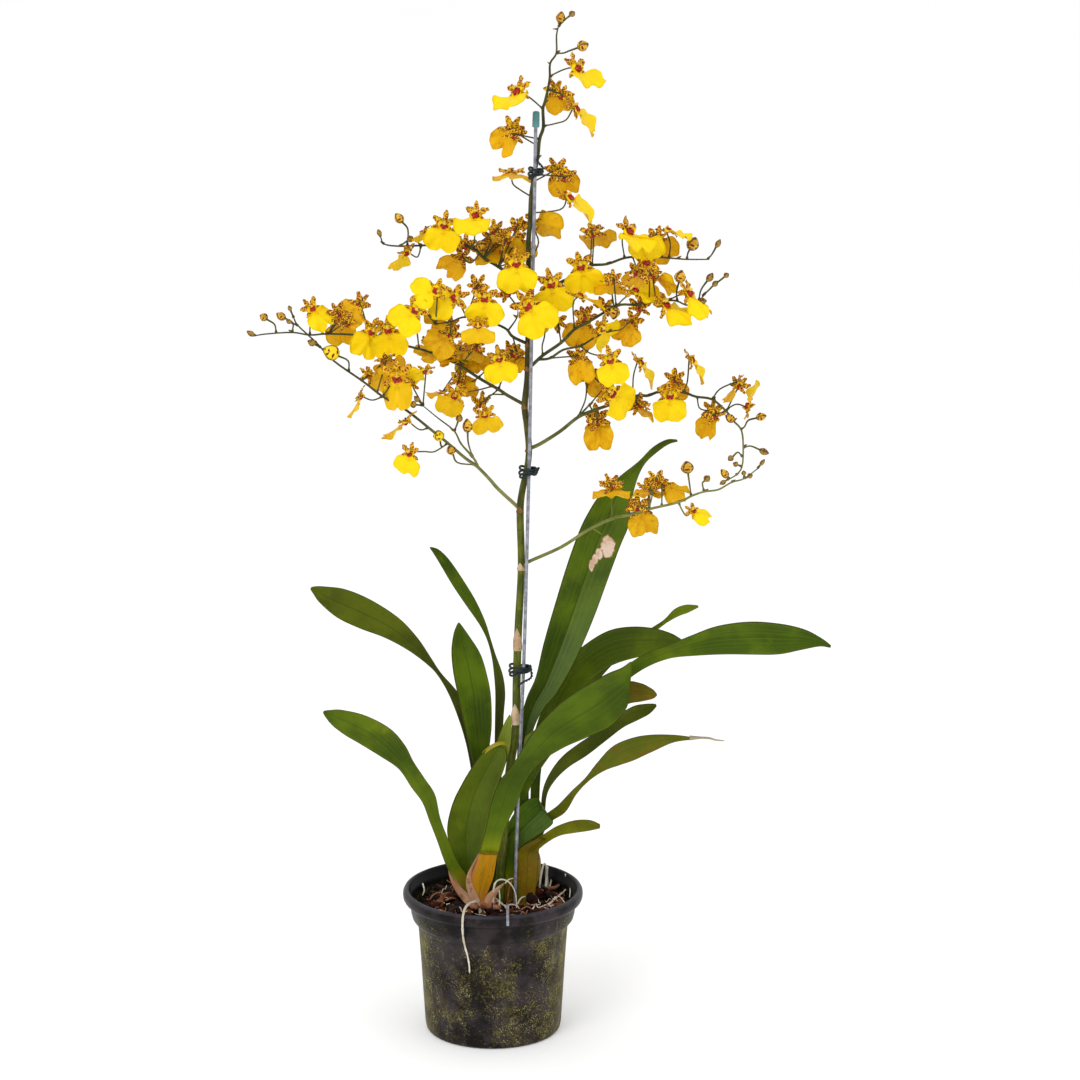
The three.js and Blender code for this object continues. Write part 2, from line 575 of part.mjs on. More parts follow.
// The plain hole that a leaf's foot stands in.
function makeSocket(name) {
  const reach = RIM_RADIUS;
  const corners = (low, high) => Array.from({ length: 8 }, (_, c) =>
    new THREE.Vector3(...[1, 2, 4].map((bit, axis) => (c & bit ? high : low)[axis])));
  const ground = block(corners([-reach, -reach, 0], [reach, reach, SOCKET_TOP]));
  const { min, max } = makeLeaf(name, GAP).intersect(ground).boundingBox();
  return block(corners(min, [max[0], max[1], SOCKET_TOP]));
}

// ---------------------------------------------------------------- flowers
// Right half of a flower's outline as [across, along the lip, rise]: the lip's lobe, its widest
// place, its waist, the petal's tip and root. The notch and the top sepal close it.
const FLOWER_HALF = [
  [8.4, LIP_LENGTH, -0.6], [LIP_HALF_WIDTH, 10.4, 2.4], [3, 2.6, 0.2], [9, -4.8, -0.9], [2.4, -3.8, 0],
];
const LIP_NOTCH = [0, 18.5, -1.3];
const TOP_SEPAL = [0, -TEPAL_LENGTH, -0.8];

function flowerOutline(size) {
  const left = FLOWER_HALF.map(([across, along, rise]) => [-across, along, rise]).reverse();
  const loop = [LIP_NOTCH, ...FLOWER_HALF, TOP_SEPAL, ...left];
  return loop.map((place) => place.map((value) => value * size));
}

// A flower's own axes: its lip points down, it leans in the upright plane, spins about the lip
// and then nods, which brings the lip's tip forward.
function flowerFrame(origin, lean, turn, nod) {
  const [leaning, turning, nodding] = [lean, turn, nod].map(THREE.MathUtils.degToRad);
  const along = new THREE.Vector3(Math.sin(leaning), 0, -Math.cos(leaning));
  const across = new THREE.Vector3(Math.cos(leaning), 0, Math.sin(leaning));
  const out = new THREE.Vector3(0, -1, 0).applyAxisAngle(along, -turning);
  const side = across.clone().applyAxisAngle(along, -turning);
  [along, out, side].forEach((axis) => axis.applyAxisAngle(across, -nodding));
  return { origin, along, out, across: side };
}

function makeFlower(frame, size, stalk) {
  const route = [...stalk, frame.origin];
  const radii = [...stalk.map(() => PEDICEL_RADIUS), 1.5 * size];
  return [plate(flowerOutline(size), PETAL_THICKNESS, frame), bar(route, radii, PEDICEL_SIDES)];
}

function makeBud(centre, length, width, stalk) {
  const last = stalk[stalk.length - 1];
  const along = centre.clone().sub(last).normalize();
  const at = (share) => centre.clone().addScaledVector(along, share * length);
  const route = [...stalk, at(-0.5), at(0), at(0.5)];
  const radii = [...stalk.map(() => PEDICEL_RADIUS), 0.7, width * 0.5, 0.5];
  return bar(route, radii, BUD_SIDES);
}

// ---------------------------------------------------------------- sprays
// slope: depth gained for each millimetre across, away from the stem.
// branches: places of each branch, [across, up], with its thickness at the start.
// flowers: [across, up, lean, turn, nod, size, stalk places, depth]; buds: [across, up, length,
// width, stalk places]. A stalk without places starts at the nearest point of a branch.
const SPRAYS = {
  spray_top: {
    slope: 0,
    branches: [{
      radius: 1.9,
      places: [[26, 556.4], [26, 572], [26.2, 582], [27.2, 592.5], [27.7, 608], [28.8, 617.5], [30, 625.5],
        [32.3, 637], [33.7, 650], [36.3, 658.3], [36, 670.5], [37.2, 675.5], [39.4, 684.5], [40.7, 693],
        [41, 702.5], [45.2, 709.5], [45.3, 721.5], [47, 729.5]],
    }, { radius: 0.7, places: [[40.9, 702], [39, 703.5]] }, { radius: 0.7, places: [[45.6, 726], [42.5, 726]] }],
    flowers: [
      [59.3, 699.5, 20, 50, 20, 1, [[41, 692.8], [43.5, 695], [51.2, 698.5]]],
      [18.5, 683.5, -10, -40, 35, 1, [[36, 671], [28, 678]]],
      [44.5, 684, 20, 180, 0, 0.75],
      [58, 671, 45, 80, 0, 1, [[36.2, 659], [45, 661], [52, 663.5]]],
      [14.5, 657, -35, 160, 0, 0.9, [[33, 645], [20, 653]]],
      [14.5, 627, 0, 180, 80, 0.95, [[28, 610], [20, 615], [15, 619.5]]],
      [46, 628.5, 25, 180, 0, 0.9, [[29.4, 620.3]]],
      [54, 609, 55, 80, 0, 1, [[27.6, 598.5], [48, 601]]],
      [28.5, 592, 80, 140, 0, 1, [[26, 564], [33, 578]]],
    ],
    buds: [
      [48, 734, 8, 6.4, [[47, 729.5]]],
      [56, 736.4, 4.5, 4.5, [[46.6, 727.6], [51.3, 732.6]]],
      [63.4, 714.4, 8, 7.6, [[45.2, 709.3], [50, 709.5], [54, 711]]],
    ],
  },
  spray_right_4: {
    slope: 0.22,
    branches: [{
      radius: 1.3,
      places: [[26.3, 536], [48, 549.5], [52, 551.5], [60, 557], [69, 561.7], [80.5, 562.7], [92.8, 567],
        [105, 568], [118.7, 567.3], [129.4, 566.5], [136, 566], [150.8, 566]],
    }],
    flowers: [
      [41.6, 549, 10, 0, 0, 1],
      [71.3, 586, 25, 160, -50, 0.95, [[70.3, 562], [71, 575.5]]],
      [62.3, 561.5, 12, 0, 0, 1],
      [95.6, 586, 20, 45, 35, 1, [[92.7, 567], [91, 580]]],
      [108, 563, 180, 0, 30, 1],
      [114.5, 579.5, 40, 180, 0, 0.8],
      [122.5, 586, 85, 100, 40, 0.8, [[123.5, 567.2], [124.3, 577]]],
      [103, 555.5, 0, 180, -50, 0.9, [[98.4, 567.3]]],
    ],
    buds: [
      [139.8, 577, 10, 9, [[136, 566], [136.5, 570]]],
      [157.4, 577.3, 6.5, 4, [[150.4, 566], [153.5, 570]]],
    ],
  },
  spray_right_3: {
    slope: -0.25,
    branches: [{
      radius: 1.3,
      places: [[24.8, 489], [28.5, 491], [36, 498], [48.7, 507], [58, 516.5], [66, 520.7], [87, 533],
        [98.7, 534], [110, 535.5], [123, 537], [129.5, 536.5], [137, 533.5], [144.5, 536.5], [148, 541]],
    }, {
      radius: 1,
      places: [[33, 495], [41, 496], [50.3, 502], [62.5, 504.8], [73, 511.3], [81.5, 514.7],
        [90.5, 516.5], [95, 520.7]],
    }],
    flowers: [
      [61, 540, 70, 100, 0, 0.9, [[58, 516.5], [57, 534]], -17],
      [24.7, 533.5, 38, 0, 0, 1.1, [[36, 498], [35.5, 504.5], [36.7, 517]], -16],
      [45.4, 521.7, -110, 150, 0, 0.8, [[48.7, 507]]],
      [65, 522.5, -15, 180, 0, 0.9],
      [77, 518, 30, 30, -40, 0.9, [[81, 514.4]]],
      [99, 522, -30, 150, 0, 0.8],
      [99.3, 543.5, 75, 75, 0, 0.95, [[87.5, 533], [92, 538]]],
      [82.5, 551, 0, 180, 60, 0.8, [[85.5, 532]]],
      [113.5, 556, 50, 120, 0, 0.85, [[115, 536.2], [113.5, 545]]],
      [121, 534, 45, 60, 0, 1],
      [137.3, 542.5, 35, 60, 0, 0.95, [[123, 537], [129, 540]]],
      [83, 495, 12, 0, 0, 0.9, [[62.5, 504.6], [69, 499.5]]],
      [61, 497, 10, 180, 0, 0.85, [[41, 496], [53, 497]]],
    ],
    buds: [
      [86, 528, 9, 8],
      [131.5, 554, 9, 8, [[129.5, 536.5], [129, 543]]],
      [152, 553.5, 7, 5, [[144.5, 536.5], [146, 544.5]]],
      [163.5, 554.8, 4, 4, [[148, 541], [154, 547]]],
      [155.7, 549, 5, 4, [[147, 540], [151, 544]]],
      [147, 536.4, 6, 5, [[143, 535.9]]],
    ],
  },
  spray_right_2: {
    slope: 0.25,
    branches: [{
      radius: 1.4,
      places: [[26.2, 431], [34, 434.5], [48, 443.5], [61, 454], [73.5, 459.3], [84, 463], [101.3, 469],
        [109.5, 469.2], [118, 472], [134, 471.5], [143, 468.5], [154.5, 466.5], [164.5, 458],
        [169.5, 451.2], [175.2, 444.5], [176.7, 432.3], [176, 418], [171.7, 412], [167.2, 409.2]],
    }, { radius: 0.9, places: [[60, 453.3], [68.5, 462.5], [79, 475]] }],
    flowers: [
      [67, 483, 60, 180, 0, 0.8, [[60.5, 453.6], [66, 467.5]]],
      [83.5, 471, 50, 20, -20, 1.05],
      [74, 452.5, 5, 180, 0, 1, [[68.5, 462.5]]],
      [104, 463, -26, 180, 75, 0.9],
      [125, 469.7, 0, 0, 0, 0.95],
      [128, 481, 0, 180, 0, 0.75, [[118, 472]]],
      [139.5, 495, 35, 85, 0, 0.85, [[134, 471.5], [137, 479]]],
      [103.5, 493, 35, 85, 0, 0.9, [[99, 468.2], [99.3, 483]]],
      [155, 457.5, -5, 140, 0, 0.9, [[144, 468.3], [146, 460]]],
      [172, 478, -30, 90, 0, 0.75, [[154.5, 466.5], [160, 474]]],
      [180, 461, 165, 90, 0, 0.9, [[164.5, 458], [168, 461.5], [173, 463]]],
    ],
    buds: [
      [189, 454, 7.5, 6, [[175, 444.7], [177.5, 447], [180, 451.5]]],
      [167, 453, 8, 6],
      [191.5, 429, 7.5, 5, [[176.7, 431.5], [181.8, 433]]],
      [168, 424, 4.5, 4.5, [[176.3, 425], [173, 428.5]]],
      [171.4, 420, 4, 4],
      [163.8, 413.2, 8, 5.5],
      [162.6, 406.6, 5, 3.5],
    ],
  },
  spray_right_1: {
    slope: -0.22,
    branches: [{
      radius: 1.3,
      places: [[20.8, 345], [26, 349], [48.7, 359.5], [67, 371.5], [85, 380.5], [96.3, 383], [110.8, 387.3],
        [131.5, 392.3], [141, 397], [149.8, 400], [159.7, 401.5], [168.7, 406.7], [177.8, 409.5],
        [187, 416.7]],
    }, { radius: 0.7, places: [[71, 373.6], [77.5, 369]] }],
    flowers: [
      [84, 404, 0, 180, 75, 0.95, [[85, 380.5]]],
      [110, 403, 0, 180, 75, 0.8, [[110.8, 387.3]]],
      [121, 405, 60, 150, 0, 0.85, [[119.8, 389.5]]],
      [104, 386.5, 15, 180, 0, 0.9],
      [142, 386, 60, 40, 0, 0.6, [[131.5, 392.3], [134.5, 386], [137.5, 382.5]]],
    ],
    buds: [
      [137.5, 417.5, 9, 9, [[140.5, 396.8]]],
      [151.5, 409.5, 5, 5, [[149.5, 400], [148.3, 406]]],
      [177.3, 413.6, 3.5, 3.5],
      [181.8, 411.4, 4, 4],
      [190.3, 421.3, 5.5, 3, [[187, 416.7]]],
    ],
  },
  spray_left_1: {
    slope: -0.3,
    branches: [{
      radius: 1.4,
      places: [[20.3, 387], [5, 401.5], [-1, 408.5], [-10, 418], [-18.7, 424.4], [-30.6, 435], [-41.5, 444],
        [-60, 459], [-76, 468.5], [-90.3, 479.8], [-110, 494], [-122, 507], [-134.5, 519], [-137.5, 524.5]],
    }, {
      radius: 1,
      places: [[-9, 417], [-12.8, 424.5], [-21.4, 434.6], [-26.3, 444], [-38, 453.5], [-48, 462]],
    }],
    flowers: [
      [-57.5, 428, -10, -30, 0, 0.75, [[-30.6, 435], [-40, 429], [-47, 429]]],
      [-60, 451.4, -45, 85, 0, 0.9, [[-44, 446], [-51, 445]]],
      [-66, 482.5, 0, 0, 0, 1.15],
      [-85, 484, 60, 150, 0, 0.75],
      [-92, 469, -20, 85, 0, 0.75, [[-76, 468.5], [-84, 466]]],
      [-73.5, 494.7, 20, 180, -50, 0.85, [[-80, 471.5]]],
      [-46, 487, -70, 45, 0, 0.7],
    ],
    buds: [
      [-55, 463, 5, 5, [[-48, 462]]],
      [-52.4, 467, 5, 4, [[-47.6, 461.8]]],
      [-22.6, 453, 5.5, 5, [[-26, 443.6]]],
      [-17, 447.7, 10, 7, [[-13.4, 425.2], [-16.3, 435]]],
      [-37, 440.5, 8, 8, [[-30.6, 435], [-35, 432.5]]],
      [-28.5, 430, 7, 7, [[-12, 419.4], [-24, 421]]],
      [-112, 500, 12, 11, [[-99.7, 486.5], [-100, 494]]],
      [-141, 522, 4, 3.5, [[-134.5, 519]]],
      [-125.5, 507, 6, 5, [[-119, 503.6]]],
      [-140.3, 531.5, 4, 3, [[-137.5, 524.5]]],
    ],
  },
  spray_left_2: {
    slope: 0.25,
    branches: [{
      radius: 1.3,
      places: [[23.3, 462.6], [11.3, 469.4], [5, 473.7], [-9, 482], [-21.5, 490.5], [-40, 499.5],
        [-56, 504], [-72, 508], [-88.3, 512], [-113, 513.3], [-126.5, 512.5], [-138.7, 514.3],
        [-157, 513.2], [-164.5, 512]],
    }],
    flowers: [
      [-4.7, 456, 10, 0, -20, 0.8, [[10.3, 470], [-2, 469]]],
      [-25.5, 469.5, -25, 0, -10, 0.85, [[1, 476], [-10.5, 473]]],
      [-15, 478, 0, 180, 0, 0.45],
      [-34, 472, -75, 90, 0, 0.55],
      [5.4, 496, 8, 0, 0, 0.85],
      [-9, 499, 10, 180, 0, 0.6],
      [-38, 503, 0, 180, 60, 0.8],
      [-22, 503, 0, 180, 60, 0.8],
      [-72, 516.7, 5, 0, 0, 0.95],
      [-83.5, 515.5, -25, 20, 0, 0.9],
      [-125, 531.7, 40, 30, 0, 0.8, [[-126.5, 512.5]]],
      [-106.5, 522.5, 10, 180, 0, 0.8],
      [-91.5, 534.5, -45, 150, 0, 0.85, [[-88.3, 512], [-87.5, 522]]],
    ],
    buds: [
      [-158.5, 525, 6, 6, [[-150, 513.8], [-151, 520]]],
      [-146.3, 526, 7.5, 6, [[-138.8, 514.3], [-138.2, 521]]],
      [-119, 519.5, 6, 4, [[-117.5, 513.2]]],
      [-57, 517.5, 4.5, 4.5, [[-50.5, 502.6], [-52, 515]]],
      [-167.6, 513.7, 6.5, 4, [[-164.5, 512]]],
    ],
  },
  spray_left_3: {
    slope: -0.35,
    branches: [{
      radius: 1.2,
      places: [[25.8, 506], [15, 511.3], [10.5, 516.7], [1, 521], [-17.3, 525.3], [-28, 522], [-38.7, 520.3]],
    }, { radius: 0.7, places: [[11.6, 515.4], [18, 525], [18.5, 532.5]] }],
    flowers: [
      [19, 497, 20, 180, 0, 0.5, [[15, 511.3]]],
      [-4.5, 539, 0, 0, 0, 0.95],
      [-25, 539, -75, 0, 0, 0.95],
      [-38, 544, -80, 0, 0, 0.8],
      [-52.7, 530.5, -45, 0, 0, 0.9, [[-38.7, 520.3], [-45, 529.3]]],
      [-28, 520, -60, 180, 0, 0.6],
      [-29, 513, -45, 180, 0, 0.85],
      [-9.2, 520, 0, 0, -35, 0.85],
    ],
    buds: [],
  },
  spray_left_4: {
    slope: 0.2,
    branches: [{
      radius: 1.3,
      places: [[26.3, 546], [5.3, 560.7], [-5, 567], [-12.8, 574], [-28.8, 576], [-48, 575.8], [-63.3, 575.3],
        [-74, 576.8], [-76.5, 582]],
    }, { radius: 0.7, places: [[-38.6, 576], [-38, 579], [-39.4, 582]] }],
    flowers: [
      [-58.5, 571, -35, 60, 0, 0.75, [[-48.5, 575.8], [-50, 569.5], [-52.3, 567.7]]],
      [-32.3, 590.5, -10, 0, 0, 0.9],
      [-45.5, 586, -40, 60, 0, 0.5],
      [-10.4, 597.4, -10, -20, 35, 0.95, [[-13.5, 574.2], [-11.5, 580]]],
      [-20.5, 567, -45, 180, 0, 0.85, [[-8, 570], [-14, 563.5]]],
      [1, 581, 0, 180, 0, 0.8],
      [8, 577, 50, 180, 0, 0.7],
      [19, 579, 20, 180, 0, 0.75],
      [17.5, 563.7, 3, 0, 0, 1, null, -14],
    ],
    buds: [
      [-63.5, 595, 8, 6.5, [[-58, 575.5], [-57.5, 587]]],
      [-56, 580.5, 5, 5],
      [-7, 576, 8, 7],
      [-77.5, 584.8, 5, 3.5, [[-76.5, 582]]],
    ],
  },
};
const FACE_DEPTH = 12;
const STEP_DEPTH = 3;
const TIP_SHARE = 0.5;

function makeSpray(name, cuts) {
  const { slope, branches, flowers, buds } = SPRAYS[name];
  const stemSide = branches[0].places[0][0];
  const depthAt = (across) => slope * Math.abs(across - stemSide);
  const lines = branches.map(({ places }) => smooth(places.map(([across, up]) =>
    new THREE.Vector3(across, depthAt(across), up)), 1));
  const nearest = ([across, up]) => {
    const places = lines.flat();
    const away = (place) => Math.hypot(place.x - across, place.z - up);
    const best = places.reduce((found, place) => (away(place) < away(found) ? place : found));
    return [best.x, best.z];
  };
  const stalkTo = (places, end) => {
    const root = depthAt(places[0][0]);
    const steps = places.length;
    return places.map(([across, up], i) => onSight(across, up, THREE.MathUtils.lerp(root, end, i / steps)));
  };
  const solids = branches.map(({ places, radius }) => {
    const route = places.map(([across, up]) => onSight(across, up, depthAt(across)));
    const radii = route.map((_, i) => THREE.MathUtils.lerp(radius, radius * TIP_SHARE, i / (route.length - 1)));
    return bar(route, radii, BRANCH_SIDES);
  });
  flowers.forEach(([across, up, lean, turn, nod, size, stalk, depth], i) => {
    const facing = Math.cos(THREE.MathUtils.degToRad(turn));
    const reach = FACE_DEPTH + (i % 2 === 0 ? -STEP_DEPTH : STEP_DEPTH);
    const heart = depth ?? depthAt(across) - reach * facing;
    const frame = flowerFrame(onSight(across, up, heart), lean, turn, nod);
    solids.push(...makeFlower(frame, size, stalkTo(stalk ?? [nearest([across, up])], heart)));
  });
  buds.forEach(([across, up, length, width, stalk]) => {
    const heart = depthAt(across);
    const route = stalkTo(stalk ?? [nearest([across, up])], heart);
    solids.push(makeBud(onSight(across, up, heart), length, width, route));
  });
  return cuts.reduce((spray, cut) => spray.subtract(cut), join(solids));
}

// ---------------------------------------------------------------- assembly
const COLOURS = {
  plastic: 0x1d1d1b, bark: 0x5b3a24, root: 0xd9d3c0, stem: 0x66772c, stake: 0x9a9ca0, cap: 0x2f8f86,
  wire: 0x2c4a2c, bulb: 0x8f7a34, green_bulb: 0x6f7f3a, leaf: 0x4f6b22, yellow_leaf: 0xa79a3a,
  dark_leaf: 0x3d5519, flower: 0xe9bd1c,
};

function addPiece(group, name, solid, colour) {
  const mesh = solid.getMesh();
  const geometry = new THREE.BufferGeometry();
  geometry.setAttribute("position", new THREE.BufferAttribute(mesh.vertProperties, 3));
  geometry.setIndex(new THREE.BufferAttribute(mesh.triVerts, 1));
  const material = new THREE.MeshStandardMaterial({ color: COLOURS[colour], roughness: 0.6, flatShading: true });
  const piece = new THREE.Mesh(geometry, material);
  piece.name = name;
  group.add(piece);
}

const LEAF_COLOURS = { leaf_speckled: "yellow_leaf", leaf_olive: "yellow_leaf", leaf_dark_short: "dark_leaf" };

function build() {
  const group = new THREE.Group();
  const stem = makeStem();
  const stake = makeStake();
  const hook = makeHook();
  const roots = Object.keys(ROOTS).map((name) => [name, makeRoot(name)]);
  const rooted = Object.keys(LEAVES).filter((name) => LEAVES[name].rows[0][1] < SOCKET_TOP);
  const sockets = [
    ...rooted.map((name) => makeSocket(name)),
    ...Object.keys(BULBS).map((name) => makeBulb(name, GAP)),
    ...roots.map(([, grow]) => grow(GAP)),
    stem(GAP), stake(GAP), hook(GAP),
  ];
  addPiece(group, "pot", makePot(), "plastic");
  addPiece(group, "bark", makeBark(sockets), "bark");
  roots.forEach(([name, grow]) => addPiece(group, name, grow(), "root"));
  addPiece(group, "stem", stem(), "stem");
  addPiece(group, "stake", stake(), "stake");
  addPiece(group, "stake_cap", makeCap(stake), "cap");
  addPiece(group, "wire_hook", hook(), "stake");
  Object.keys(TIES).forEach((name) => addPiece(group, name, makeTie(name), "wire"));
  addPiece(group, "bulb_old", makeBulb("bulb_old"), "bulb");
  addPiece(group, "bulb_green", makeBulb("bulb_green"), "green_bulb");
  Object.keys(LEAVES).forEach((name) => addPiece(group, name, makeLeaf(name), LEAF_COLOURS[name] ?? "leaf"));
  Object.keys(SPRAYS).forEach((name) => addPiece(group, name, makeSpray(name, [stem(GAP)]), "flower"));
  return group;
}

export default build();
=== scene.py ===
"""Looks for the potted oncidium orchid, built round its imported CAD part. Sizes are in millimetres
until a piece is made, and a place is [across, up] on the upright plane y = 0, moved along the
sight line by its depth, as in the part's own source."""

import math
import random

import bpy
import numpy as np
from mathutils import Matrix, Vector


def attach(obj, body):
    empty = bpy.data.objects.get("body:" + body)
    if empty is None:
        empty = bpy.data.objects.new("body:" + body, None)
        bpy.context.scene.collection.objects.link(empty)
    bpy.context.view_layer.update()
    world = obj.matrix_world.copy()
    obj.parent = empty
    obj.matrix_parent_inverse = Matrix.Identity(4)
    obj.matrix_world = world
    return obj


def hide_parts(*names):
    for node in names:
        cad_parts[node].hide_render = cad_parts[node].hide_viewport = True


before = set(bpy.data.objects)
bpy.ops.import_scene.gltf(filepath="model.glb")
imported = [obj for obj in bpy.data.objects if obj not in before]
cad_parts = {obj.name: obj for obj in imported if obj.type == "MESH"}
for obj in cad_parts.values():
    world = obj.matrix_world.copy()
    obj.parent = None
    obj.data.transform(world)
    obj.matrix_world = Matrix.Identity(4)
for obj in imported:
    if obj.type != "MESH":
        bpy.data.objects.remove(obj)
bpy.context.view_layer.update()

MM = 0.001
SEED = 20260
# The camera: where it stands, its lens and sensor, and how far down it looks, in degrees
EYE = np.array([34.0, -2800.0, 1090.0])
LENS = 136.5
SENSOR = 36
LOOK_DOWN = 14.52
RIM_RADIUS = 65
POT_HEIGHT = 106
BARK_TOP = 92

rng = random.Random(SEED)


def on_sight(across, up, depth):
    """The point seen at [across, up] on the plane y = 0, this far behind the plane."""
    place = np.array([across, 0.0, up])
    return EYE + (place - EYE) * (1 + depth / -EYE[1])


